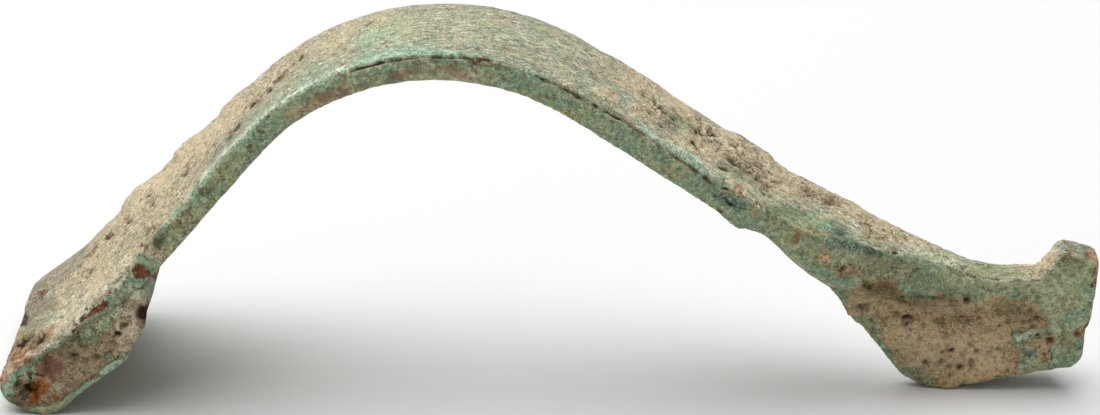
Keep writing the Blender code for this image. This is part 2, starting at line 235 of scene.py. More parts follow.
def cloud(places, size, seed, layers=3):
    """Noise from -1 to 1 with lumps of about this size, in the units of the places."""
    total = np.zeros(len(places), np.float32)
    reach = 0.0
    strength = 1.0
    scaled = places / size + seed * SEED_SHIFT
    for _ in range(layers):
        cell = np.floor(scaled).astype(int)
        part = scaled - cell
        fade = part * part * (3 - 2 * part)
        for corner in np.ndindex(2, 2, 2):
            share = np.prod(np.where(corner, fade, 1 - fade), axis=1)
            index = (cell + corner) % LATTICE
            total += strength * share * lattice[index[:, 0], index[:, 1], index[:, 2]]
        reach += strength
        strength *= 0.5
        scaled = scaled @ LAYER_TURN * FINER
    return total / reach


def ramp(values, low, high):
    """A smooth step from 0 at low to 1 at high, which may be the smaller of the two."""
    share = np.clip((values - low) / (high - low), 0, 1)
    return share * share * (3 - 2 * share)


print("noise lattice:", lattice.shape, "from", lattice.min().round(2), "to", lattice.max().round(2))

# %% [markdown]
# ## The points of a skin
# Each point of a skin needs three addresses. One is its place in space. One is its place in the photograph,
# for the marks that are seen there. The last is its place in the strip: how far along the bow, how far to
# the side and how deep under the outer face. The line of the outer face comes from rays that are dropped on
# the solid from above.

# %% Points, sight and the way along the strip
solid = merged_copy("fibula_strip")
solid_tree = BVHTree.FromBMesh(solid)
solid.free()
FOCAL_PIXELS = PIXELS_PER_MM * CAMERA_DISTANCE / MM
LINE_STEP = 0.25
SKY = 40.0
RAY_LIFT = 0.3
HIDDEN_FACING = -0.25
OPEN_FACING = 0.1
POINTS_AT_ONCE = 8192


def outer_line():
    """Points along the strip's outer face in the middle plane, from the head to the toe, in millimetres."""
    low, high = (corner.x / MM for corner in map(Vector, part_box("fibula_strip")))
    line = []
    for x in np.arange(low + 0.1, high - 0.05, LINE_STEP):
        hit = solid_tree.ray_cast(Vector((x, 0, SKY)) * MM, Vector((0, 0, -1)))[0]
        line.append((hit.x / MM, hit.z / MM))
    return np.array(line)


line = outer_line()
line_length = np.concatenate([[0], np.cumsum(np.linalg.norm(np.diff(line, axis=0), axis=1))])
eye = np.array(AIM + back * CAMERA_DISTANCE) / MM


class Relief:
    """A skin's points in millimetres, and what is painted on them and pushed out of them."""

    def __init__(self, piece):
        self.piece = piece
        mesh = piece.data
        count = len(mesh.vertices)
        self.places = np.empty(count * 3, np.float32)
        mesh.vertices.foreach_get("co", self.places)
        self.places = self.places.reshape(-1, 3) / MM
        self.normals = np.empty(count * 3, np.float32)
        mesh.vertex_normals.foreach_get("vector", self.normals)
        self.normals = self.normals.reshape(-1, 3)
        self.height = np.zeros(count, np.float32)
        self.paint = {}
        self.wander = cloud(self.places, 1.4, 9, 4) * 1.6
        self.jitter = cloud(self.places, 0.35, 10, 2) * 1.8
        self.look_through_camera()
        self.follow_strip()
        self.crumbs = ramp(cloud(self.flow * np.array([0.6, 1.0, 1.0]), 0.25, 13, 2), -0.35, 0.1)

    def look_through_camera(self):
        """Each point's photograph pixel, and how openly the camera sees it."""
        sight = self.places - eye
        depth = -(sight @ np.array(back))
        self.photo = np.stack([
            PHOTO_WIDTH / 2 + FOCAL_PIXELS * (sight @ np.array(right)) / depth,
            PHOTO_HEIGHT / 2 - FOCAL_PIXELS * (sight @ np.array(up)) / depth,
        ], axis=1)
        towards = -sight / np.linalg.norm(sight, axis=1)[:, None]
        facing = (self.normals * towards).sum(axis=1)
        self.seen = ramp(facing, HIDDEN_FACING, OPEN_FACING)
        for index in np.nonzero(self.seen > 0)[0]:
            start = (self.places[index] + self.normals[index] * RAY_LIFT) * MM
            if solid_tree.ray_cast(Vector(start), Vector(towards[index]))[0] is not None:
                self.seen[index] = 0

    def follow_strip(self):
        """Each point's way along the strip, its depth and its side, from the nearest part of the line."""
        flat = self.places[:, [0, 2]]
        nearest = np.empty(len(flat), int)
        for begin in range(0, len(flat), POINTS_AT_ONCE):
            end = begin + POINTS_AT_ONCE
            gap = flat[begin:end, None, :] - line[None, :, :]
            nearest[begin:end] = (gap * gap).sum(axis=2).argmin(axis=1)
        before = line[np.maximum(nearest - 1, 0)]
        after = line[np.minimum(nearest + 1, len(line) - 1)]
        heading = (after - before) / np.linalg.norm(after - before, axis=1)[:, None]
        offset = flat - line[nearest]
        self.along = line_length[nearest] + (offset * heading).sum(axis=1)
        self.depth = offset[:, 0] * heading[:, 1] - offset[:, 1] * heading[:, 0]
        self.outward = self.normals[:, 2] * heading[:, 0] - self.normals[:, 0] * heading[:, 1]
        self.side = self.places[:, 1]
        bend = 0.5 * cloud(self.places, 2.5, 15, 2)
        self.flow = np.stack([self.along, self.side + bend, self.depth], axis=1)

    def add(self, layer, amount):
        """Paint a layer, keeping what is there where it is stronger."""
        empty = np.zeros(len(self.places), np.float32)
        self.paint[layer] = np.maximum(self.paint.get(layer, empty), np.clip(amount, 0, 1))

    def clear(self, layer, amount):
        """Take a layer away where the amount is 1."""
        self.paint[layer] = self.paint[layer] * (1 - np.clip(amount, 0, 1))

    def finish(self):
        """Move the points and store the paint as attributes."""
        mesh = self.piece.data
        moved = (self.places + self.normals * self.height[:, None]) * MM
        moved[:, 2] = np.maximum(moved[:, 2], 0.0)
        mesh.vertices.foreach_set("co", moved.astype(np.float32).ravel())
        for layer, amount in self.paint.items():
            attribute = mesh.attributes.new(layer, "FLOAT", "POINT")
            attribute.data.foreach_set("value", amount.astype(np.float32))
        attribute = mesh.attributes.new("flow", "FLOAT_VECTOR", "POINT")
        attribute.data.foreach_set("vector", (self.flow * MM).astype(np.float32).ravel())
        mesh.update()
        lowest, highest = self.height.min().round(3), self.height.max().round(3)
        print(self.piece.name, "moved by", lowest, "to", highest, "mm")


metal = Relief(strip)
print("along the strip:", round(line_length[-1], 1), "mm, seen points:", int((metal.seen > 0.5).sum()))

# %% [markdown]
# ## Marks that the photograph shows
# A mark is drawn on the photograph as a line or an outline in its pixels, and lands on whatever part of the
# brooch is seen there. Its corners are written in a row, as x, y, x, y. Its edge is made ragged with noise,
# because corrosion never ends in a clean curve.

# %% Lines and outlines in photograph pixels
FAR_AWAY = 1e9
LEVEL_RISE = 1e-9


def corners_of(place):
    """The corners of a line or an outline, from their row of x, y, x, y."""
    return np.reshape(place, (-1, 2)).astype(float)


def away_from_line(photo, points):
    """How far each point is from a line drawn in the photograph, in pixels."""
    nearest = np.full(len(photo), FAR_AWAY)
    for start, stop in zip(points[:-1], points[1:]):
        span = stop - start
        share = np.clip(((photo - start) @ span) / (span @ span), 0, 1)
        gap = np.linalg.norm(photo - start - share[:, None] * span, axis=1)
        nearest = np.minimum(nearest, gap)
    return nearest


def away_from_outline(photo, points):
    """How far each point is outside a closed outline, in pixels, below zero inside it."""
    closed = np.concatenate([points, points[:1]])
    inside = np.zeros(len(photo), bool)
    for start, stop in zip(closed[:-1], closed[1:]):
        crosses = (start[1] > photo[:, 1]) != (stop[1] > photo[:, 1])
        rise = (stop[1] - start[1]) or LEVEL_RISE
        where = start[0] + (photo[:, 1] - start[1]) / rise * (stop[0] - start[0])
        inside ^= crosses & (photo[:, 0] < where)
    gap = away_from_line(photo, closed)
    return np.where(inside, -gap, gap)


def close_by(relief, points, reach):
    """The seen points of a skin whose place in the photograph is near a mark."""
    low = np.min(points, axis=0) - reach
    high = np.max(points, axis=0) + reach
    inside = ((relief.photo > low) & (relief.photo < high)).all(axis=1)
    return np.nonzero(inside & (relief.seen > 0))[0]


def thickness(place):
    """How thick an outlined patch is, in pixels: twice its area over its outline."""
    corners = corners_of(place)
    following = np.roll(corners, -1, axis=0)
    twice_area = abs(np.sum(corners[:, 0] * following[:, 1] - corners[:, 1] * following[:, 0]))
    return twice_area / np.linalg.norm(following - corners, axis=1).sum()


def mark(relief, place, width, soft, ragged):
    """How much of a mark each point has: a line of some width, or a closed patch where the width is 0."""
    points = corners_of(place)
    amount = np.zeros(len(relief.places), np.float32)
    near = close_by(relief, points, width / 2 + soft + ragged)
    if len(near):
        measure = away_from_line if width else away_from_outline
        wander = relief.jitter[near] if width else relief.wander[near] + 0.5 * relief.jitter[near]
        gap = measure(relief.photo[near], points) - width / 2 + ragged * wander
        amount[near] = ramp(gap, soft / 2, -soft / 2) * relief.seen[near]
    return amount


bar = (0, 0, 100, 0, 100, 10, 0, 10)
print("an outline of 100 by 10 pixels is", thickness(bar).round(1), "pixels thick")

# %% [markdown]
# ## Reading the head
# The head plate is buried in sandy soil. Its far bevel shows as a smooth grey sheet, the fold in front is
# flaked down to pink copper, and along the plate's edge the red cuprite under the green has been laid bare.
# Each mark has a layer of paint, a width in pixels (0 for a closed patch), a strength, a lift in
# millimetres, below zero where it is a pit, and one or more lines or outlines. The layer called bare has no
# colour. It only takes the soil away.

# %% Marks on the head
HEAD_MARKS = {
    "far_bevel_sheet": ("sheet", 0, 1, -0.05, (
        30, 296, 38, 276, 60, 260, 80, 244, 94, 234, 103, 234, 92, 254, 80, 266, 70, 274, 56, 286, 46, 300,
        30, 304,
    )),
    "far_bevel_low": ("sheet", 0, 0.85, 0, (24, 304, 44, 292, 62, 284, 58, 304, 46, 316, 22, 328)),
    "roll_darkening": ("grime", 0, 0.8, 0, (20, 350, 26, 334, 46, 330, 56, 340, 40, 352)),
    "far_darkening": ("grime", 0, 0.4, 0, (22, 306, 36, 284, 52, 288, 58, 312, 48, 334, 24, 338, 18, 324)),
    "neck_darkening": ("grime", 0, 0.25, 0, (136, 238, 150, 230, 158, 238, 150, 252, 138, 254)),
    "far_bevel_red_spot": ("cuprite", 0, 0.55, 0, (38, 290, 44, 286, 50, 289, 46, 297, 36, 298)),
    "far_bevel_dark_rim": ("hollow", 3, 0.7, -0.1, (30, 301, 36, 298, 41, 296)),
    "groove_behind_bevel": ("hollow", 4, 0.75, -0.14, (97, 243, 90, 252, 86, 259, 80, 266)),
    "groove_by_bevel_low": ("hollow", 2.5, 0.5, -0.1, (80, 266, 66, 278, 54, 290, 46, 302)),
    "head_green_wash": ("lime", 0, 0.25, 0, (62, 300, 78, 288, 98, 284, 100, 294, 82, 308, 64, 318)),
    "head_grey_wash": ("sheet", 0, 0.4, 0, (96, 262, 112, 248, 124, 250, 116, 268, 100, 276)),
    "sheet_beyond_leg": ("sheet", 5, 0.9, 0, (96, 236, 110, 222, 122, 212)),
    "edge_blob": ("hollow", 0, 0.75, -0.06, (25, 311, 29, 317, 26, 324, 19, 328, 16, 322, 21, 315)),
    "pale_green_patch": ("mint", 0, 0.6, 0, (47, 314, 53, 311, 58, 315, 55, 322, 47, 323)),
    "grey_green_patch": ("sheet", 0, 0.6, 0, (26, 312, 44, 320, 44, 330, 30, 334, 22, 328)),
    "ragged_pits": ("hollow", 0, 1, -0.15, (
        15, 348, 16, 342, 20, 343, 22, 337, 26, 340, 31, 336, 29, 342, 24, 344, 23, 349, 19, 346,
    ), (
        36, 346, 39, 341, 38, 337, 42, 338, 43, 333, 46, 336, 44, 340, 45, 343, 40, 344,
    )),
    "pink_flake_near": ("copper", 0, 0.85, 0.04, (43, 338, 48, 328, 55, 325, 57, 333, 47, 345, 38, 352)),
    "pink_flake_red": ("cuprite", 4, 0.6, 0, (34, 349, 40, 342, 45, 335)),
    "pink_flake_far": ("copper", 0, 0.6, 0.02, (10, 354, 22, 344, 38, 340, 42, 350, 24, 358, 8, 368)),
    "red_in_flakes": ("cuprite", 3, 0.7, -0.05, (20, 348, 28, 346, 36, 344)),
    "plate_pit_brown": ("hollow", 5, 0.7, -0.15, (84, 277, 88, 273, 93, 270)),
    "plate_pit_far": ("hollow", 5, 0.95, -0.2, (106, 239, 112, 235)),
    "plate_pit_small": ("hollow", 3, 0.7, -0.12, (115, 256, 118, 251)),
    # Wear and a painted highlight: a thin pale line along the near rim of the head.
    "near_rim_wear_and_highlight": ("pale", 2.5, 0.65, 0.03, (
        30, 357, 45, 349, 60, 340, 70, 331, 80, 318, 95, 305, 108, 296, 120, 283, 131, 269,
    )),
    "bright_soil_by_rim": ("pale", 16, 0.35, 0.03, (60, 328, 72, 312, 90, 298, 112, 282, 126, 262)),
    "roll_rim_red": ("copper", 5, 0.8, 0, (30, 356, 18, 363, 9, 371, 5, 380)),
    "roll_brown": ("umber", 16, 0.6, 0, (20, 350, 10, 360, 4, 372)),
    "roll_brown_top": ("umber", 0, 0.8, 0, (8, 346, 18, 334, 40, 332, 44, 350, 24, 360, 6, 366)),
    "roll_red_bits": ("cuprite", 3, 0.5, -0.02, (26, 352, 16, 358, 8, 366)),
    "neck_mint": ("mint", 0, 0.5, 0, (133, 252, 141, 246, 150, 256, 148, 266, 136, 264, 130, 262)),
    "neck_soil": ("soil", 0, 0.9, 0.06, (141, 246, 150, 243, 162, 250, 171, 247, 164, 258, 150, 256)),
    "neck_dark": ("hollow", 4, 0.7, -0.08, (142, 245, 148, 247)),
    "neck_dark_low": ("hollow", 5, 0.7, -0.08, (159, 248, 164, 252)),
    "cuprite_patches": ("cuprite", 0, 1, -0.02, (
        133, 270, 136, 265, 143, 266, 149, 272, 153, 278, 145, 276, 139, 279, 135, 278,
    ), (
        77, 321, 84, 314, 92, 309, 104, 300, 109, 299, 108, 306, 99, 312, 90, 317, 80, 322,
    )),
    "cuprite_at_neck_bits": ("cuprite", 3, 0.8, 0, (133, 287, 136, 289)),
    "turquoise_at_neck": ("mint", 5, 0.8, 0, (137, 283, 145, 281, 150, 281)),
    "pink_by_streak": ("copper", 2.5, 0.7, 0, (86, 311, 96, 303, 106, 296)),
    "cuprite_small": ("cuprite", 0, 0.8, 0, (70, 330, 76, 323, 79, 326, 73, 332)),
    "blue_by_streak": ("blue", 0, 0.9, 0, (98, 310, 106, 304, 113, 309, 104, 314)),
    "blue_on_band": ("blue", 4, 0.7, 0, (93, 325, 96, 327)),
    "band_moss": ("moss", 0, 0.9, 0, (
        58, 342, 76, 328, 90, 318, 104, 310, 114, 298, 126, 288, 134, 296, 120, 318, 104, 332, 84, 341,
        66, 343,
    )),
    "plate_edge_green": ("mint", 0, 0.7, 0, (134, 282, 148, 280, 154, 282, 148, 292, 142, 300, 134, 294)),
    "edge_dust": ("dust", 0, 0.4, 0, (
        132, 288, 146, 286, 148, 296, 140, 302, 132, 300,
    ), (
        88, 282, 100, 272, 106, 284, 102, 300, 92, 304,
    )),
    "far_bevel_dust": ("dust", 0, 0.45, 0, (84, 240, 100, 226, 112, 218, 116, 226, 102, 242, 88, 250)),
    "band_green": ("turquoise", 0, 0.35, 0.04, (
        56, 342, 66, 334, 76, 326, 88, 318, 104, 308, 112, 297, 126, 286, 140, 284, 144, 292, 138, 302,
        130, 312, 122, 320, 112, 327, 102, 334, 92, 338, 82, 343, 70, 343, 60, 347,
    )),
    "under_band_brown": ("umber", 0, 0.95, 0.03, (50, 349, 62, 343, 84, 343, 86, 349, 72, 353, 58, 350)),
    "band_turquoise": ("mint", 4, 0.5, 0, (106, 322, 114, 316, 124, 304)),
    "rim_soil": ("soil", 7, 0.8, 0, (66, 331, 78, 318, 92, 306, 106, 295, 118, 284, 130, 271)),
}
print("marks on the head:", len(HEAD_MARKS))

# %% [markdown]
# ## Reading the fold
# The near end of the fold is a ring of bronze sheet, green where it is whole and brown where it is worn. In
# its middle the iron axis shows as a rusty round with a dark rim, and its rust has run to one side. The
# packed soil beside it has pits, a crack and pale specks.

# %% Marks on the fold
FOLD_MARKS = {
    "purple_dirt": ("copper", 0, 0.9, 0.06, (
        41, 354, 48, 350, 56, 353, 62, 358, 65, 364, 60, 371, 52, 375, 44, 372, 39, 362,
    )),
    "purple_shade": ("hollow", 0, 0.6, 0, (
        41, 354, 48, 350, 56, 353, 62, 358, 65, 364, 60, 371, 52, 375, 44, 372, 39, 362,
    )),
    "shades": ("hollow", 0, 0.4, 0, (
        40, 352, 50, 346, 66, 348, 66, 362, 50, 362, 40, 360,
    ), (
        10, 396, 20, 399, 42, 400, 44, 404, 26, 405, 12, 401,
    )),
    "dark_dirt_beside": ("umber", 0, 0.8, 0.03, (52, 348, 70, 344, 86, 345, 84, 351, 72, 360, 62, 357)),
    "moss_beside": ("moss", 0, 0.7, 0, (60, 352, 70, 350, 74, 358, 66, 360)),
    "fill_dust": ("dust", 0, 0.45, 0.02, (118, 326, 136, 318, 134, 340, 126, 352, 112, 352, 118, 338)),
    "ring_darkening": ("grime", 0, 0.8, 0, (10, 372, 14, 362, 30, 356, 46, 354, 46, 366, 30, 370, 16, 376)),
    # Painted shade along the lower edge of the ring.
    "ring_bottom_shade": ("grime", 0, 0.5, 0, (8, 394, 20, 397, 44, 398, 50, 404, 30, 408, 12, 404)),
    "band_darkening": ("grime", 0, 0.7, 0, (56, 346, 66, 332, 78, 330, 84, 338, 76, 346, 62, 350)),
    "dark_dot": ("hollow", 4, 0.9, -0.1, (74, 352, 77, 353)),
    "fill_pit_upper": ("hollow", 6, 1, -0.15, (115, 334, 120, 330)),
    "fill_crack_upper": ("umber", 4, 0.8, -0.08, (116, 326, 122, 326, 130, 322)),
    "green_dot": ("blue", 0, 0.9, -0.05, (106, 352, 111, 350, 113, 356, 109, 359)),
    "green_dot_rim": ("hollow", 2.5, 0.8, -0.06, (104, 356, 106, 351, 111, 349, 114, 356)),
    "cavity": ("hollow", 0, 1, -0.05, (
        137, 303, 143, 300, 149, 305, 150, 314, 147, 324, 142, 328, 137, 320, 135, 310,
    )),
    "fill_edge_moss": ("moss", 6, 0.7, -0.04, (144, 322, 140, 332, 134, 342)),
    "fill_light_right": ("soil", 0, 0.8, 0.05, (124, 305, 138, 318, 130, 345, 118, 345, 108, 332)),
    "fill_bright_rim": ("soil", 0, 0.9, 0.04, (
        122, 316, 136, 306, 140, 326, 134, 342, 128, 352, 112, 352, 116, 338, 124, 330,
    )),
    "fill_pale_specks": ("pale", 5, 0.4, 0.03, (130, 346, 122, 354, 112, 358)),
    "ring_green_top": ("mint", 0, 0.8, 0.02, (
        10, 376, 16, 371, 30, 367, 37, 370, 34, 375, 22, 377, 12, 383,
    )),
    "ring_green_left": ("mint", 0, 0.7, 0.02, (4, 384, 10, 378, 14, 384, 13, 396, 6, 396)),
    "ring_dark_low": ("umber", 0, 0.85, 0, (6, 394, 18, 398, 42, 399, 48, 406, 30, 408, 10, 403)),
    "ring_brown_edge": ("umber", 4, 0.8, -0.03, (12, 368, 22, 363, 34, 361, 40, 364, 40, 371)),
    "ring_brown_low": ("umber", 0, 0.8, -0.04, (
        14, 384, 22, 380, 22, 396, 40, 398, 44, 402, 20, 400, 14, 394,
    )),
    "ring_rust_low": ("rust", 4, 0.35, 0, (26, 405, 46, 404)),
    "around_pin_dark": ("hollow", 3, 0.8, -0.08, (17, 386, 20, 378, 26, 374, 36, 372, 44, 374)),
    "pin_rust": ("rust", 0, 1, 0, (26, 378, 34, 375, 43, 376, 47, 384, 44, 392, 39, 397, 31, 396, 27, 389)),
    # Painted shadow: the left side of the axis end, down in its bore, is darkened.
    "pin_shadow_side": ("hollow", 0, 0.7, -0.03, (22, 382, 28, 380, 31, 386, 29, 397, 23, 398, 21, 390)),
    "rust_streak": ("rust", 4, 0.8, 0, (51, 391, 55, 394, 59, 398)),
    "rust_streak_dark": ("hollow", 2.5, 0.7, -0.05, (48, 388, 52, 390, 56, 393)),
    "sheet_end_green": ("mint", 0, 0.8, 0, (100, 372, 106, 365, 116, 360, 118, 366, 104, 377, 98, 380)),
    "sheet_mid_green": ("mint", 0, 0.8, 0, (72, 396, 78, 389, 88, 381, 96, 382, 86, 391, 74, 400)),
    "sheet_low_moss": ("moss", 4, 0.8, 0, (60, 410, 78, 402, 100, 384, 124, 364)),
    "line_above_sheet": ("hollow", 3, 0.75, -0.05, (
        118, 357, 106, 363, 98, 369, 90, 379, 82, 381, 74, 388, 66, 394, 61, 399,
    )),
    "brown_by_sheet": ("umber", 0, 0.8, 0, (90, 372, 98, 368, 100, 376, 94, 381, 86, 380)),
}
print("marks on the fold:", len(FOLD_MARKS))

# %% [markdown]
# ## Reading the left leg
# A mint-green rim runs along the near edge of the leg and is worn pale on its ridge, with a painted
# highlight along it. Rows of small pits lie in the soil on the top face, and brown and olive stains on the
# side.

# %% Marks on the left leg
LEG_MARKS = {
    "rim_mint": ("mint", 5, 1, 0.01, (
        158, 236, 170, 219, 182, 205, 192, 193, 202, 181, 213, 166, 222, 156, 232, 146, 243, 136, 253, 128,
        262, 119, 275, 108, 288, 98, 300, 91, 312, 85, 322, 80,
    )),
    "under_rim_moss": ("moss", 10, 0.6, 0, (162, 240, 176, 223, 188, 209, 198, 196, 208, 184)),
    # Wear and a painted highlight: a thin pale line along the ridge of the near rim.
    "rim_wear_and_highlight": ("pale", 2, 0.9, 0.01, (
        200, 179, 213, 164, 222, 154, 243, 134, 262, 117, 275, 106, 300, 89, 312, 83, 330, 74, 344, 68,
    )),
    "bare_near_half": ("bare", 0, 0.7, 0, (
        212, 164, 240, 136, 262, 115, 290, 94, 320, 76, 330, 62, 312, 66, 290, 78, 270, 92, 250, 108,
        232, 130, 214, 150, 204, 168,
    )),
    "green_near_half": ("mint", 0, 0.35, 0, (
        240, 138, 262, 117, 290, 96, 322, 78, 330, 64, 304, 74, 278, 96, 254, 116,
    )),
    "grey_by_rim": ("sheet", 9, 0.5, 0, (186, 184, 205, 160, 226, 136, 246, 118)),
    "under_rim_green": ("turquoise", 7, 0.45, 0, (
        182, 210, 206, 182, 228, 158, 248, 140, 270, 121, 294, 104, 320, 90, 348, 76,
    )),
    "leg_dust": ("dust", 0, 0.5, 0, (
        104, 214, 130, 190, 160, 158, 186, 136, 214, 114, 240, 96, 248, 106, 222, 130, 196, 154, 166, 184,
        136, 212, 112, 228,
    ), (
        650, 96, 676, 96, 700, 116, 690, 122, 664, 108,
    )),
    "far_edge_light": ("pale", 10, 0.35, 0, (252, 84, 270, 66, 286, 50, 304, 36)),
    "far_leg_dust_low": ("dust", 0, 0.4, 0, (742, 176, 764, 176, 790, 188, 780, 196, 750, 188)),
    "side_darkening_low": ("grime", 0, 0.7, 0, (150, 244, 158, 228, 170, 224, 166, 240, 156, 252)),
    "side_darkening_mid": ("grime", 0, 0.4, 0, (196, 186, 222, 156, 238, 146, 240, 160, 222, 180, 204, 200)),
    "rim_darkening": ("grime", 0, 0.35, 0, (214, 150, 230, 136, 242, 136, 232, 150, 218, 162)),
    "rim_darkening_low": ("grime", 8, 0.4, 0, (196, 184, 214, 166, 230, 152)),
    "pit_low": ("hollow", 5, 0.95, -0.2, (149, 204, 152, 199)),
    "pit_low_left": ("hollow", 5, 0.7, -0.15, (127, 222, 131, 219)),
    "pit_low_right": ("hollow", 4, 0.7, -0.12, (147, 234, 151, 228)),
    "pit_middle": ("hollow", 4, 0.6, -0.12, (183, 175, 187, 167)),
    "pit_middle_near": ("hollow", 3, 0.6, -0.1, (211, 161, 213, 156)),
    "pit_row_low": ("hollow", 4, 0.8, -0.12, (227, 138, 232, 131, 238, 125)),
    "pit_row_middle": ("hollow", 4, 0.85, -0.1, (244, 113, 250, 106, 258, 99, 264, 94, 270, 89)),
    "pit_row_dot": ("hollow", 4, 0.9, -0.12, (257, 100, 259, 98)),
    "pit_row_high": ("hollow", 4, 0.75, -0.12, (274, 83, 281, 77, 288, 71, 293, 66)),
    "pit_row_top": ("hollow", 3, 0.7, -0.12, (300, 60, 302, 56)),
    "side_olive": ("moss", 0, 0.9, -0.03, (152, 240, 160, 227, 172, 222, 166, 240, 157, 250)),
    "side_olive_dark": ("hollow", 0, 0.5, 0, (150, 240, 158, 228, 168, 226, 164, 240, 156, 250)),
    "side_brown": ("umber", 0, 0.5, 0.02, (
        168, 232, 176, 219, 190, 214, 198, 216, 184, 230,
    ), (
        214, 180, 224, 172, 234, 176, 224, 184,
    ), (
        238, 156, 246, 142, 262, 140, 258, 152, 246, 160,
    )),
    "side_brown_dot": ("umber", 7, 0.55, 0.02, (187, 211, 191, 209)),
    "side_soil_low": ("loam", 0, 0.45, 0.03, (176, 224, 186, 214, 196, 212, 192, 222)),
    "side_brown_faint": ("umber", 0, 0.45, 0.02, (
        198, 196, 206, 186, 214, 188, 208, 199,
    ), (
        250, 132, 262, 125, 274, 124, 272, 134, 258, 138,
    )),
    "side_soil_high": ("loam", 0, 0.4, 0.04, (284, 114, 296, 106, 310, 108, 302, 116, 288, 121)),
    "edge_notch_dark": ("hollow", 3, 0.6, -0.05, (262, 121, 278, 109)),
}
print("marks on the left leg:", len(LEG_MARKS))

# %% [markdown]
# ## Reading the crown
# At the crown the rim turns turquoise, with yellow-green clouds behind it. Under it runs a dark line where
# the skin of the metal has split, and soil and crumbs cling to the side.

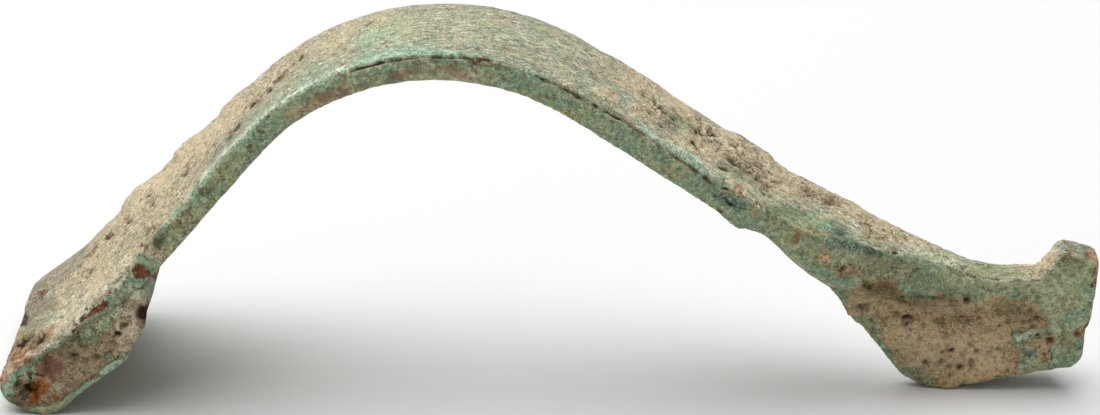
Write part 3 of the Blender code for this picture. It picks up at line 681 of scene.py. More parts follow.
# %% Marks on the crown
CROWN_MARKS = {
    "rim_turquoise": ("mint", 0, 0.8, 0, (
        312, 88, 335, 72, 350, 64, 362, 54, 380, 48, 400, 44, 430, 46, 452, 50, 480, 54, 500, 60, 480, 60,
        450, 56, 420, 56, 395, 58, 372, 64, 350, 71, 330, 80,
    )),
    "rim_turquoise_deep": ("turquoise", 5, 0.75, 0, (340, 71, 366, 62, 392, 55, 430, 53, 462, 55)),
    "side_teal_band": ("turquoise", 6, 0.5, 0, (410, 62, 440, 61, 476, 64, 510, 72, 540, 84, 566, 98)),
    "rim_turquoise_right": ("mint", 5, 0.6, 0, (498, 60, 520, 68, 540, 77, 556, 84)),
    "light_green_cloud": ("mint", 0, 0.4, 0, (350, 46, 365, 28, 390, 26, 408, 40, 396, 50, 366, 54)),
    "yellow_cloud": ("lime", 0, 0.6, 0, (360, 30, 384, 14, 412, 16, 414, 30, 392, 38, 368, 40)),
    "yellow_cloud_low": ("lime", 0, 0.4, 0, (296, 96, 306, 80, 330, 66, 336, 72, 312, 86)),
    "yellow_band_a": ("lime", 5, 0.6, 0, (478, 20, 510, 30, 540, 42, 566, 54)),
    "yellow_band_b": ("lime", 6, 0.6, 0, (510, 50, 540, 62, 572, 74, 596, 84)),
    "yellow_band_c": ("lime", 5, 0.5, 0, (552, 40, 584, 54, 612, 70)),
    "green_cloud_low": ("mint", 0, 0.35, 0, (300, 88, 312, 72, 336, 62, 340, 70, 318, 80)),
    "sand_far_left": ("soil", 0, 0.5, 0.03, (
        296, 62, 310, 38, 345, 16, 385, 4, 402, 8, 388, 22, 366, 30, 352, 42, 330, 56, 312, 66,
    )),
    "sand_specks_mid": ("soil", 0, 0.2, 0, (390, 20, 440, 8, 470, 30, 500, 40, 480, 50, 430, 40)),
    "brown_spot": ("umber", 6, 0.45, -0.04, (381, 48, 387, 44)),
    "crown_darkening": ("grime", 0, 0.35, 0, (492, 40, 520, 42, 548, 58, 540, 68, 510, 62, 494, 52)),
    "crown_rim_darkening": ("grime", 6, 0.85, 0, (392, 60, 420, 58, 450, 58, 480, 61, 512, 68)),
    "side_dust_left": ("dust", 0, 0.3, 0, (
        296, 110, 320, 94, 350, 84, 392, 72, 392, 82, 350, 98, 314, 114,
    )),
    "side_dust_mid": ("dust", 0, 0.4, 0, (388, 78, 400, 70, 440, 66, 480, 68, 478, 80, 430, 80)),
    "crown_pit_far": ("hollow", 3, 0.7, -0.08, (366, 24, 371, 22)),
    "crown_pit_left": ("hollow", 3, 0.5, -0.08, (337, 48, 341, 45)),
    "split_line_left": ("umber", 3.5, 1, -0.06, (
        342, 74, 352, 70, 366, 66, 380, 62, 400, 58, 420, 56, 440, 56, 460, 57, 480, 59, 500, 62,
    )),
    "split_line_red": ("umber", 3.5, 0.8, -0.03, (384, 61, 410, 57, 440, 56, 470, 58)),
    "split_line_dark": ("hollow", 3, 1, -0.1, (352, 70, 380, 62, 420, 56, 460, 57, 500, 61)),
    "split_line_right": ("hollow", 3.5, 0.85, -0.1, (
        518, 70, 530, 74, 543, 79, 555, 84, 566, 90, 580, 98, 600, 108, 614, 116, 622, 119,
    )),
    "split_line_right_brown": ("umber", 3, 0.85, -0.03, (
        530, 74, 543, 79, 555, 84, 566, 90, 580, 98, 600, 108, 614, 116, 622, 119,
    )),
    "red_spot": ("cuprite", 5, 1, 0, (476, 62, 482, 59)),
    "orange_specks": ("rust", 3, 0.6, 0, (446, 68, 452, 64, 457, 70)),
    "orange_spots": ("rust", 5, 0.6, 0, (463, 76, 469, 74, 475, 79)),
    "side_soil_left": ("umber", 0, 0.5, 0.02, (
        292, 116, 306, 98, 318, 90, 336, 86, 356, 81, 366, 80, 362, 92, 348, 98, 326, 106, 306, 116,
    )),
    "side_specks_left": ("loam", 0, 0.5, 0.02, (292, 116, 310, 96, 340, 86, 362, 82, 340, 100, 306, 114)),
    "side_soil_mid": ("umber", 0, 0.6, 0.03, (384, 80, 394, 69, 408, 66, 420, 70, 404, 82)),
    "side_specks_mid": ("loam", 0, 0.45, 0, (388, 80, 396, 70, 408, 66, 418, 71, 402, 82)),
    "side_crumbs_left": ("hollow", 14, 0.5, -0.03, (296, 112, 312, 100, 336, 91, 366, 83)),
    "side_crumbs_mid": ("hollow", 10, 0.5, -0.03, (388, 77, 418, 71)),
    "side_crumbs_right": ("hollow", 12, 0.45, -0.03, (432, 72, 474, 72)),
    "side_umber_mid": ("umber", 0, 0.5, 0, (430, 66, 452, 62, 486, 66, 484, 80, 456, 80, 432, 76)),
    "side_umber_right": ("umber", 0, 0.4, 0, (480, 66, 510, 70, 522, 84, 490, 82)),
    "side_soil_mid_b": ("loam", 0, 0.35, 0, (432, 68, 450, 63, 470, 68, 466, 78, 446, 78)),
    "side_blue_right": ("blue", 0, 0.4, 0, (500, 74, 520, 72, 548, 86, 552, 98, 524, 88)),
    "side_red_right": ("cuprite", 6, 0.35, 0, (544, 96, 554, 97)),
}
print("marks on the crown:", len(CROWN_MARKS))

# %% [markdown]
# ## Reading the right leg
# Corrosion has eaten grooves and a trail of deep hollows into the top face of this leg, and sand lies
# between them. The split line runs on under the rim, and lime, turquoise and blue patches lie on the side.

# %% Marks on the right leg
FAR_LEG_MARKS = {
    "groove_far": ("hollow", 3, 0.6, -0.06, (620, 81, 634, 90, 646, 98, 656, 104)),
    "groove_near": ("hollow", 3, 0.45, -0.05, (590, 72, 598, 80, 606, 87, 612, 90)),
    "groove_short": ("hollow", 3, 0.4, -0.05, (600, 66, 610, 73, 622, 80)),
    "orange_in_groove": ("rust", 4, 0.2, 0, (611, 74, 620, 78, 628, 82)),
    "hollow_top": ("hollow", 4, 0.95, -0.15, (656, 103, 659, 108)),
    "hollow_a_right": ("hollow", 5, 1, -0.16, (661, 109, 666, 112, 672, 118)),
    "hollow_b": ("hollow", 5, 0.95, -0.15, (676, 113, 680, 118, 683, 123)),
    "hollow_c": ("hollow", 5, 0.9, -0.14, (710, 130, 714, 138, 720, 147)),
    "hollow_c_far": ("hollow", 3, 0.6, -0.1, (696, 116, 703, 123)),
    "hollow_middle": ("hollow", 6, 0.9, -0.14, (697, 131, 702, 135)),
    "dents_low": ("hollow", 2.5, 0.6, -0.1, (676, 128, 684, 136, 694, 146), (650, 112, 658, 120, 662, 126)),
    "dent_low_c": ("hollow", 2.5, 0.5, -0.1, (700, 150, 708, 158)),
    "hollows_deep": ("hollow", 5.5, 1, -0.2, (730, 157, 737, 163), (749, 167, 754, 172, 760, 179)),
    "hollow_f": ("hollow", 4, 0.85, -0.12, (738, 166, 743, 172)),
    "hollow_h": ("hollow", 4.5, 0.95, -0.16, (760, 179, 764, 184, 768, 190)),
    "hollow_i": ("hollow", 4, 0.8, -0.1, (693, 142, 699, 150)),
    "hollow_far": ("hollow", 4, 0.6, -0.12, (730, 143, 736, 148)),
    "hollow_low": ("hollow", 3, 0.7, -0.1, (720, 166, 730, 172)),
    "top_streak_a": ("umber", 4, 0.7, -0.05, (802, 190, 814, 196, 826, 203, 838, 207)),
    "top_streak_b": ("umber", 3.5, 0.7, -0.05, (822, 194, 832, 200, 846, 211)),
    "top_streak_c": ("umber", 3.5, 0.6, -0.04, (862, 222, 872, 230, 868, 238)),
    "top_streak_d": ("umber", 3, 0.5, -0.04, (882, 228, 896, 238, 906, 242)),
    "rough_top": ("hollow", 9, 0.5, -0.12, (652, 102, 668, 113, 684, 122)),
    "rough_middle": ("hollow", 8, 0.45, -0.1, (698, 122, 706, 134, 718, 146)),
    "rough_low": ("hollow", 10, 0.55, -0.15, (730, 157, 744, 166, 757, 176, 772, 188)),
    "rough_near": ("hollow", 7, 0.35, -0.08, (684, 136, 694, 144, 702, 152)),
    "rough_end": ("hollow", 6, 0.3, -0.06, (790, 180, 806, 190, 822, 200)),
    "leg_darkening_a": ("grime", 0, 0.65, 0, (664, 108, 680, 108, 694, 122, 688, 130, 668, 122)),
    "leg_darkening_b": ("grime", 0, 0.75, 0, (
        722, 160, 736, 160, 752, 164, 770, 184, 764, 192, 744, 180, 724, 174,
    )),
    "sand_far_half": ("soil", 0, 0.95, 0.05, (
        632, 60, 680, 94, 722, 128, 745, 134, 772, 158, 800, 172, 842, 200, 866, 214, 850, 222, 822, 206,
        786, 196, 768, 194, 744, 180, 720, 160, 700, 146, 680, 128, 660, 116, 640, 100, 618, 80,
    )),
    "sand_upper": ("soil", 0, 0.4, 0.02, (586, 52, 606, 56, 640, 72, 640, 94, 612, 86, 590, 70)),
    "sand_low_mix": ("soil", 0, 0.5, 0.02, (716, 164, 744, 180, 772, 196, 800, 204, 780, 208, 740, 196)),
    "lime_mix": ("lime", 0, 0.6, 0, (640, 82, 666, 96, 690, 118, 716, 150, 700, 150, 660, 112)),
    "lime_low": ("lime", 0, 0.7, 0, (716, 160, 740, 178, 764, 190, 790, 206, 772, 208, 730, 188)),
    "sand_near_a": ("soil", 0, 0.75, 0.03, (590, 88, 606, 86, 622, 94, 618, 102, 598, 98)),
    "pink_near_a": ("copper", 0, 0.2, 0, (592, 90, 608, 88, 618, 96, 600, 98)),
    "sand_near_b": ("soil", 0, 0.85, 0.03, (628, 106, 650, 100, 666, 112, 664, 122, 640, 118)),
    "sand_mid": ("soil", 0, 0.75, 0.03, (660, 138, 690, 130, 716, 148, 728, 168, 704, 164, 680, 152)),
    "grey_patch": ("sheet", 0, 0.8, -0.03, (661, 122, 672, 117, 682, 128, 680, 136, 664, 134)),
    "rim_grey_mint": ("mint", 0, 0.8, 0.02, (
        634, 119, 650, 129, 664, 140, 680, 147, 694, 155, 704, 165, 710, 180, 700, 173, 690, 164, 676, 155,
        664, 147, 650, 137, 638, 128,
    )),
    "rim_grey_light": ("pale", 8, 0.3, 0, (644, 131, 662, 143, 682, 151, 698, 162, 706, 174)),
    # Wear and a painted highlight: a thin pale line along the near rim at the end of the leg.
    "rim_wear_and_highlight_low": ("pale", 4, 0.5, 0.01, (744, 194, 756, 203, 764, 212)),
    "split_line_leg": ("hollow", 3.5, 0.75, -0.08, (
        600, 108, 612, 115, 622, 119, 636, 128, 645, 135, 656, 142, 665, 149, 676, 157, 690, 166, 700, 174,
        710, 184, 720, 188, 730, 189,
    )),
    "brown_line_leg": ("umber", 4, 0.7, -0.02, (
        598, 108, 620, 119, 645, 136, 665, 150, 676, 158, 700, 175, 710, 185, 728, 190,
    )),
    "cuprite_line_leg": ("cuprite", 4, 0.6, -0.03, (720, 188, 732, 190, 742, 197, 752, 202, 762, 209)),
    "red_patch": ("copper", 0, 0.6, -0.02, (733, 186, 740, 185, 746, 194, 750, 200, 742, 198, 734, 192)),
    "side_moss_a": ("moss", 0, 0.15, 0, (604, 122, 640, 136, 664, 152, 650, 160, 620, 142, 600, 134)),
    "side_moss_b": ("moss", 0, 0.45, 0, (672, 168, 700, 184, 712, 198, 690, 188)),
    "side_soil_a": ("umber", 0, 0.15, 0.02, (586, 110, 602, 112, 608, 122, 602, 127, 590, 122)),
    "side_soil_a_specks": ("loam", 4, 0.5, 0, (588, 116, 596, 118, 602, 124)),
    "side_lime_a": ("lime", 0, 0.5, 0, (578, 106, 604, 113, 626, 128, 632, 148, 606, 136, 582, 121)),
    "side_blue_a": ("turquoise", 0, 0.5, 0, (612, 118, 630, 124, 642, 136, 630, 140, 616, 134)),
    "side_blue_low": ("turquoise", 0, 0.8, 0, (650, 144, 662, 148, 672, 160, 664, 166, 652, 158)),
    "side_blue_high": ("turquoise", 0, 0.5, 0, (556, 94, 572, 98, 582, 104, 572, 112, 558, 106)),
    "side_blue_b": ("blue", 0, 0.8, 0, (702, 182, 716, 188, 740, 198, 752, 206, 740, 211, 716, 200)),
    "side_pit_a": ("hollow", 2.5, 0.9, -0.1, (711, 191, 715, 196)),
    "side_pit_b": ("hollow", 2.5, 0.8, -0.1, (719, 192, 724, 197, 727, 202)),
    "side_pit_c": ("hollow", 2.5, 0.85, -0.1, (728, 203, 734, 206, 744, 208)),
    "side_pit_d": ("hollow", 2, 0.7, -0.06, (726, 194, 732, 199, 740, 203)),
    "side_scale_light": ("mint", 2, 0.6, 0.02, (714, 189, 724, 195, 736, 203)),
    "side_dot": ("blue", 5, 0.9, -0.03, (618, 133, 621, 136)),
    "side_red_dot": ("cuprite", 4, 0.9, 0, (719, 210, 721, 215)),
    "bow_end_red": ("cuprite", 3, 0.8, -0.03, (754, 206, 762, 208)),
    "bow_end_line": ("copper", 3.5, 0.65, 0, (756, 212, 752, 218, 747, 227)),
    "bow_end_tab": ("blue", 0, 0.3, 0.03, (730, 216, 742, 208, 753, 212, 750, 222, 742, 230)),
}
print("marks on the right leg:", len(FAR_LEG_MARKS))

# %% [markdown]
# ## Reading the foot
# The foot narrows to a bar with an upturned knob. Sand lies on its top face, its side has turquoise, olive
# and brown clouds, and copper shows along the edges of the knob. A mark of the layer called side gives a
# place the colours of the strip's side. On the worn edge of the wedge and on the front of the knob this is
# painted shade: their top faces get the darker side colours, with moss, blue and darkening over them, so
# that they look as shaded as a side face.

# %% Marks on the foot
FOOT_MARKS = {
    "top_sand": ("soil", 0, 0.9, 0.04, (
        858, 206, 880, 218, 908, 232, 940, 244, 936, 254, 910, 248, 880, 242, 862, 232,
    )),
    "top_sand_left": ("soil", 0, 0.5, 0.03, (776, 188, 812, 202, 850, 220, 846, 230, 812, 214, 780, 200)),
    "top_pale_rim": ("pale", 8, 0.3, 0, (904, 243, 925, 249, 948, 257, 962, 263)),
    "top_lime": ("lime", 0, 0.7, 0, (
        900, 238, 940, 250, 970, 262, 1014, 268, 1040, 276, 1010, 278, 966, 272, 930, 258,
    )),
    "top_thin_line": ("umber", 2, 0.6, -0.03, (900, 240, 930, 250, 960, 262, 990, 268)),
    "top_green": ("mint", 0, 0.15, 0, (960, 260, 1014, 268, 1048, 276, 1020, 278, 980, 276, 956, 270)),
    "top_moss": ("moss", 9, 0.55, 0, (975, 268, 1005, 273, 1040, 276)),
    "nook_shade": ("umber", 6, 0.4, 0, (1016, 270, 1036, 274, 1050, 262)),
    "nook_soil": ("soil", 0, 1, 0.06, (
        1016, 264, 1040, 262, 1050, 248, 1058, 252, 1050, 268, 1036, 278, 1020, 272,
    )),
    "nook_red": ("copper", 4, 0.4, 0, (1018, 266, 1022, 270)),
    "nook_dust": ("dust", 0, 0.7, 0, (1022, 262, 1040, 258, 1050, 246, 1058, 248, 1050, 262, 1038, 270)),
    "top_line": ("hollow", 3, 0.75, -0.08, (
        930, 260, 945, 266, 958, 271, 972, 276, 990, 278, 1010, 280, 1030, 281, 1040, 280,
    )),
    # Painted shade: the top face of the wedge's worn edge gets the darker side colours.
    "wedge_edge": ("side", 0, 1, 0, (
        760, 211, 780, 208, 800, 212, 815, 217, 830, 221, 845, 227, 856, 236, 866, 243, 880, 247, 896, 253,
        912, 259, 904, 264, 880, 260, 850, 252, 820, 245, 795, 238, 762, 222,
    )),
    "wedge_edge_low": ("side", 0, 1, -0.06, (
        764, 217, 784, 216, 804, 221, 826, 228, 842, 235, 860, 246, 884, 255, 880, 262, 850, 254, 820, 248,
        795, 240, 764, 226,
    )),
    # Painted shade over the wedge's top face, so that it looks like a shaded side.
    "wedge_shade": ("grime", 0, 0.6, 0, (
        828, 220, 844, 226, 856, 236, 880, 247, 898, 254, 882, 259, 862, 250, 844, 244, 832, 234,
    )),
    "wedge_top_shade": ("grime", 0, 0.7, 0, (
        764, 205, 784, 205, 804, 207, 824, 213, 816, 218, 796, 217, 766, 215,
    )),
    "wedge_low_lime": ("lime", 0, 0.5, 0, (772, 232, 790, 234, 800, 246, 792, 250, 776, 242)),
    "wedge_low_lime_b": ("lime", 0, 0.45, 0, (800, 234, 820, 234, 838, 238, 838, 250, 816, 250, 800, 246)),
    "wedge_top_lime": ("lime", 0, 0.6, 0, (768, 214, 790, 214, 812, 224, 806, 236, 784, 232)),
    "top_darkening": ("grime", 0, 0.4, 0, (
        972, 262, 1014, 266, 1044, 262, 1050, 274, 1020, 280, 976, 276,
    ), (
        806, 188, 830, 192, 852, 206, 846, 212, 822, 204,
    )),
    "top_darkening_mid": ("grime", 0, 0.5, 0, (858, 226, 872, 230, 888, 242, 880, 246, 866, 240)),
    # Painted shade and the green of the side: deep moss and blue over the wedge's worn edge make it darker.
    "wedge_edge_moss": ("moss", 0, 0.5, 0, (
        760, 213, 780, 210, 800, 214, 815, 219, 828, 224, 826, 240, 806, 244, 780, 234, 762, 224,
    )),
    "wedge_edge_blue": ("blue", 0, 0.75, 0, (
        830, 224, 846, 230, 858, 240, 882, 250, 900, 257, 896, 262, 860, 254, 830, 246,
    )),
    "wedge_edge_moss_b": ("moss", 0, 0.6, 0, (
        822, 222, 846, 230, 858, 240, 882, 250, 900, 257, 896, 262, 860, 254, 826, 246,
    )),
    "wedge_grey": ("umber", 0, 0.25, 0, (820, 234, 830, 233, 834, 244, 828, 250, 820, 244)),
    "black_hole": ("hollow", 4, 1, -0.3, (890, 252, 896, 252)),
    "turquoise_a": ("turquoise", 6, 0.8, 0.02, (823, 225, 828, 225)),
    "turquoise_light": ("mint", 3, 0.8, 0, (822, 222, 829, 222, 829, 228)),
    "turquoise_c": ("turquoise", 5, 0.6, 0, (822, 238, 832, 240)),
    "turquoise_b": ("mint", 5, 0.7, 0, (810, 211, 816, 213)),
    "wedge_light_line": ("lime", 6, 0.4, 0, (812, 208, 830, 214, 848, 220, 858, 230)),
    "wedge_light_end": ("pale", 0, 0.4, 0, (850, 221, 858, 222, 862, 236, 854, 234)),
    "foot_olive_a": ("moss", 0, 0.75, 0, (860, 262, 884, 262, 902, 270, 896, 280, 868, 276)),
    "foot_brown_a": ("umber", 0, 0.4, 0, (890, 262, 916, 262, 924, 270, 906, 276, 890, 270)),
    "foot_brown_b": ("umber", 0, 0.35, 0, (800, 222, 818, 222, 818, 232, 800, 234)),
    "foot_olive_b": ("lime", 0, 0.6, 0, (900, 272, 924, 274, 930, 286, 908, 288)),
    "foot_moss_c": ("moss", 0, 0.5, 0, (896, 264, 940, 270, 948, 290, 914, 294, 896, 284)),
    "foot_moss_d": ("lime", 0, 0.4, 0, (990, 284, 1050, 286, 1052, 300, 1000, 296)),
    "foot_olive_c": ("lime", 0, 0.6, 0, (1040, 290, 1060, 292, 1064, 330, 1050, 340, 1046, 310)),
    "foot_green_d": ("turquoise", 0, 0.4, 0, (960, 284, 1000, 286, 1020, 296, 990, 296, 962, 294)),
    "teal_dot": ("blue", 0, 1, -0.03, (838, 229, 847, 228, 848, 235, 842, 237, 838, 234)),
    "teal_dot_rim": ("mint", 2.5, 0.7, 0.02, (836, 229, 838, 237, 846, 238, 850, 233)),
    "teal_spot": ("turquoise", 4, 0.8, 0, (849, 242, 854, 244)),
    "teal_cloud": ("blue", 0, 0.3, 0, (820, 236, 846, 236, 856, 250, 836, 256, 820, 248)),
    "orange_spot": ("rust", 0, 0.5, 0, (796, 233, 799, 234, 799, 245, 790, 244, 786, 242, 794, 239)),
    "orange_tail": ("pale", 2, 0.5, 0, (790, 247, 799, 248, 801, 240)),
    "side_sand_a": ("loam", 0, 0.6, 0.02, (815, 252, 826, 251, 834, 257, 830, 264, 820, 262)),
    "side_sand_b": ("loam", 0, 0.6, 0.03, (830, 268, 846, 265, 862, 265, 862, 276, 840, 279, 832, 274)),
    "side_sand_b_dark": ("umber", 0, 0.55, 0, (826, 266, 846, 262, 866, 265, 864, 277, 838, 280)),
    "side_sand_a_dark": ("umber", 0, 0.3, 0, (812, 252, 828, 248, 836, 262, 820, 266)),
    "copper_lines": ("copper", 3, 0.5, 0, (820, 256, 830, 264), (1064, 240, 1070, 246, 1066, 252)),
    "side_moss_high": ("moss", 0, 0.5, 0, (776, 208, 800, 214, 812, 226, 790, 234, 768, 220)),
    "side_moss_low": ("moss", 0, 0.6, 0, (858, 256, 890, 254, 920, 266, 920, 286, 880, 280, 862, 268)),
    "side_moss_toe": ("moss", 0, 0.3, 0, (940, 276, 1040, 284, 1040, 296, 960, 292)),
    "bare_spot": ("copper", 4, 0.5, 0, (925, 287, 930, 290)),
    "knob_rim": ("umber", 3.5, 0.85, -0.03, (1060, 258, 1070, 252, 1084, 252, 1094, 256)),
    # Painted shade: the front of the knob gets the side colours, a deep moss and darkening, as if it were a
    # shaded side face.
    "knob_front": ("side", 0, 1, -0.12, (1058, 258, 1068, 253, 1090, 254, 1094, 260, 1080, 266, 1060, 264)),
    "knob_front_moss": ("moss", 0, 0.95, 0, (1060, 258, 1070, 255, 1088, 256, 1088, 264, 1064, 264)),
    "knob_side_light": ("lime", 0, 0.5, 0, (1056, 268, 1066, 270, 1062, 330, 1052, 336, 1048, 300)),
    "toe_lime": ("lime", 0, 0.6, 0, (1046, 318, 1062, 316, 1064, 344, 1050, 350, 1044, 336)),
    "knob_front_shade": ("grime", 0, 0.85, 0, (1056, 256, 1068, 252, 1090, 253, 1094, 262, 1078, 266, 1058, 264)),
    "knob_line": ("hollow", 2.5, 0.8, -0.1, (1076, 260, 1084, 262, 1087, 266, 1080, 268)),
    "knob_edge_copper": ("copper", 5, 0.9, 0, (1090, 250, 1095, 256, 1097, 266, 1095, 280)),
    "knob_edge_red": ("cuprite", 3, 0.5, 0, (1094, 276, 1092, 292, 1090, 306)),
    "knob_top_green": ("blue", 0, 0.8, 0, (1064, 240, 1090, 246, 1096, 254, 1072, 250, 1058, 250)),
    "knob_top_light": ("sheet", 0, 0.6, 0, (1058, 244, 1072, 238, 1092, 250, 1072, 250)),
    "toe_cuprite": ("cuprite", 7, 0.7, -0.03, (1078, 336, 1086, 330, 1090, 320)),
}
print("marks on the foot:", len(FOOT_MARKS))

# %% [markdown]
# ## Reading the catchplate
# A thick patch of brown soil covers the catchplate, with round pits in it and a dark shade along its top,
# painted where the foot bar overhangs it. A moss-green rim runs round it, and a sliver of bare green shows
# through, painted lighter on its upper edge and dark along its sides.

# %% Marks on the catchplate
CATCH_MARKS = {
    "soil_patch": ("loam", 0, 1, 0.1, (
        842, 296, 850, 288, 862, 284, 880, 282, 897, 288, 910, 296, 950, 297, 985, 299, 1008, 303,
        1046, 304, 1052, 312, 1049, 326, 1034, 330, 1014, 330, 1010, 345, 1022, 352, 1014, 366, 1016, 374,
        985, 382, 942, 390, 926, 376, 900, 366, 890, 350, 876, 332, 868, 318, 850, 308,
    )),
    "soil_dust": ("dust", 0, 0.22, 0.02, (
        874, 322, 906, 326, 950, 334, 1000, 334, 1010, 350, 1006, 372, 942, 386, 904, 362, 888, 344,
    )),
    "green_in_soil": ("bare", 0, 0.4, -0.02, (1010, 300, 1030, 304, 1026, 314, 1008, 310)),
    "umber_right": ("cuprite", 0, 0.3, 0, (1030, 338, 1052, 334, 1054, 362, 1034, 362)),
    # Painted shadow under the overhanging foot bar: the shadow, shade and darkening marks along the top of
    # the soil patch.
    "shadow_top": ("hollow", 0, 0.4, -0.04, (872, 284, 884, 282, 900, 289, 906, 298, 890, 300, 874, 292)),
    "shadow_top_line": ("hollow", 6, 0.8, -0.08, (868, 287, 880, 286, 892, 292, 902, 298)),
    "shades": ("hollow", 0, 0.3, 0, (
        896, 292, 930, 296, 962, 297, 966, 308, 946, 318, 918, 312, 898, 306,
    ), (
        1000, 306, 1040, 304, 1048, 320, 1010, 326, 990, 318,
    )),
    "shade_below_bar_right": ("grime", 0, 0.55, 0, (980, 298, 1030, 300, 1050, 306, 1050, 328, 1008, 328, 984, 310)),
    "shade_below_bar": ("grime", 0, 0.6, 0, (
        934, 290, 982, 290, 986, 304, 966, 312, 938, 306,
    ), (
        870, 288, 884, 284, 904, 292, 902, 304, 880, 302,
    )),
    "umber_shade_right": ("umber", 0, 0.3, 0, (996, 302, 1040, 303, 1048, 322, 1012, 328, 994, 320)),
    "shadow_top_b": ("hollow", 4, 0.55, -0.08, (899, 296, 920, 297, 938, 298, 960, 297, 975, 298)),
    "pit_left": ("hollow", 3, 0.8, -0.12, (903, 318, 908, 316, 912, 317)),
    "pit_left_deep": ("hollow", 4, 1, -0.15, (908, 325, 911, 326)),
    "pit_c": ("hollow", 3, 0.7, -0.1, (940, 324, 950, 330, 957, 332)),
    "pit_d": ("hollow", 3, 0.75, -0.12, (941, 352, 946, 350, 952, 349)),
    "pits_low": ("hollow", 4, 0.8, -0.12, (993, 348, 998, 348), (874, 313, 878, 316, 884, 319)),
    "pit_bottom": ("hollow", 4, 0.7, -0.1, (964, 366, 970, 366)),
    "pit_middle": ("hollow", 4, 0.6, -0.1, (940, 364, 946, 360)),
    "pits_near": ("hollow", 3, 0.6, -0.08, (930, 312, 940, 306, 956, 304), (962, 314, 972, 316)),
    "loam_crumbs_left": ("hollow", 14, 0.5, -0.05, (866, 304, 890, 312, 912, 318, 940, 322)),
    "loam_crumbs_right": ("hollow", 12, 0.45, -0.04, (954, 314, 990, 312, 1032, 314)),
    "loam_light_a": ("dust", 0, 0.5, 0, (846, 292, 862, 290, 872, 300, 858, 304)),
    "loam_light": ("dust", 0, 0.45, 0, (
        896, 330, 924, 332, 932, 352, 912, 356, 898, 346,
    ), (
        948, 340, 966, 342, 982, 350, 976, 362, 952, 358,
    )),
    "loam_light_c": ("dust", 0, 0.4, 0, (928, 302, 950, 300, 952, 312, 934, 314)),
    "moss_in_soil_a": ("moss", 0, 1, 0, (858, 314, 872, 316, 886, 326, 882, 332, 866, 326)),
    "moss_rim_low": ("moss", 0, 0.6, 0, (884, 346, 898, 350, 900, 362, 892, 360)),
    "moss_corner": ("moss", 0, 0.8, 0, (904, 362, 920, 366, 934, 374, 920, 382, 906, 374)),
    # Painted shadow and painted highlight: the raised sliver of green is dark along its sides and lighter on
    # its upper edge.
    "green_sliver_shadow": ("hollow", 2.5, 0.8, -0.08, (1011, 330, 1014, 344, 1026, 343, 1038, 335)),
    "green_sliver_shadow_top": ("hollow", 2.5, 0.7, -0.08, (1014, 329, 1022, 332, 1036, 325)),
    "green_sliver": ("bare", 6, 1, 0.05, (1014, 333, 1018, 341, 1026, 338, 1036, 331)),
    "green_sliver_lime": ("lime", 6, 0.9, 0, (1014, 334, 1018, 341, 1026, 338, 1036, 331)),
    "green_sliver_highlight": ("pale", 4, 0.9, 0.03, (1016, 334, 1020, 338, 1033, 331)),
    "bare_right_top": ("bare", 0, 0.6, -0.03, (1030, 296, 1056, 300, 1056, 330, 1044, 318, 1036, 306)),
    "shade_top_left": ("grime", 0, 1, 0, (
        850, 290, 866, 284, 884, 282, 904, 291, 930, 296, 962, 297, 960, 304, 930, 308, 900, 304, 876, 296,
        860, 294,
    )),
    "shade_top_right": ("umber", 5, 0.3, 0, (910, 303, 960, 302, 1040, 306)),
    "sliver_dark_spot": ("blue", 6, 0.9, -0.05, (1024, 355, 1031, 354)),
    "sliver_soil_gap": ("mint", 4, 0.45, 0, (1004, 334, 1012, 352)),
    "corner_red": ("cuprite", 5, 0.7, 0, (919, 384, 925, 386)),
    "low_rim_green": ("moss", 5, 0.4, 0, (940, 386, 1000, 378, 1040, 370, 1070, 366)),
    "soil_blob_a": ("loam", 0, 1, 0.03, (1026, 342, 1036, 335, 1052, 332, 1058, 341, 1048, 350, 1032, 348)),
    "soil_blob_b": ("loam", 0, 1, 0.02, (1037, 350, 1048, 350, 1050, 361, 1038, 362)),
}
print("marks on the catchplate:", len(CATCH_MARKS))

# %% [markdown]
# ## Lumps that stand in the outline
# Soil and blisters break the clean outline of the bow, and wear has taken some of it away. These lines have
# no colour. Each has a width in pixels and a lift in millimetres.

# %% Lumps and worn places in the outline
LUMP_MARKS = {
    "leg_lump_low": (12, 0.22, (128, 202, 140, 190)),
    "leg_lump_mid": (10, 0.14, (178, 152, 190, 140)),
    "leg_notch_low": (8, -0.14, (120, 214, 116, 218)),
    "leg_notch_mid": (10, -0.16, (160, 172, 172, 163)),
    "leg_notch_high": (8, -0.1, (210, 127, 218, 118)),
    "leg_lump_high": (12, 0.14, (226, 108, 244, 92)),
    "far_leg_lump_a": (14, 0.12, (616, 58, 636, 66, 660, 84)),
    "far_leg_lump_b": (16, 0.16, (736, 136, 754, 144, 768, 156)),
    "far_leg_lump_c": (12, 0.1, (802, 178, 824, 188, 856, 206)),
    "far_leg_worn_a": (12, -0.1, (710, 122, 726, 132)),
    "far_leg_worn_b": (10, -0.12, (776, 162, 792, 172)),
    "foot_worn": (10, -0.1, (866, 214, 900, 230, 930, 242)),
    "head_edge_lump": (10, 0.16, (12, 334, 20, 312, 30, 292)),
    "roll_lump": (16, 0.12, (4, 360, 4, 384, 14, 402, 40, 412, 64, 410)),
    "sheet_lump": (10, 0.1, (70, 406, 100, 384, 122, 366)),
    "tab_lump": (12, 0.2, (730, 218, 742, 226, 750, 226)),
    "wedge_worn": (12, -0.12, (768, 240, 790, 258, 812, 278)),
    "catch_edge_lump": (10, 0.1, (828, 290, 856, 316, 880, 346, 902, 376)),
    "catch_step": (7, 0.14, (852, 312, 858, 318)),
}
print("lumps and worn places:", len(LUMP_MARKS))

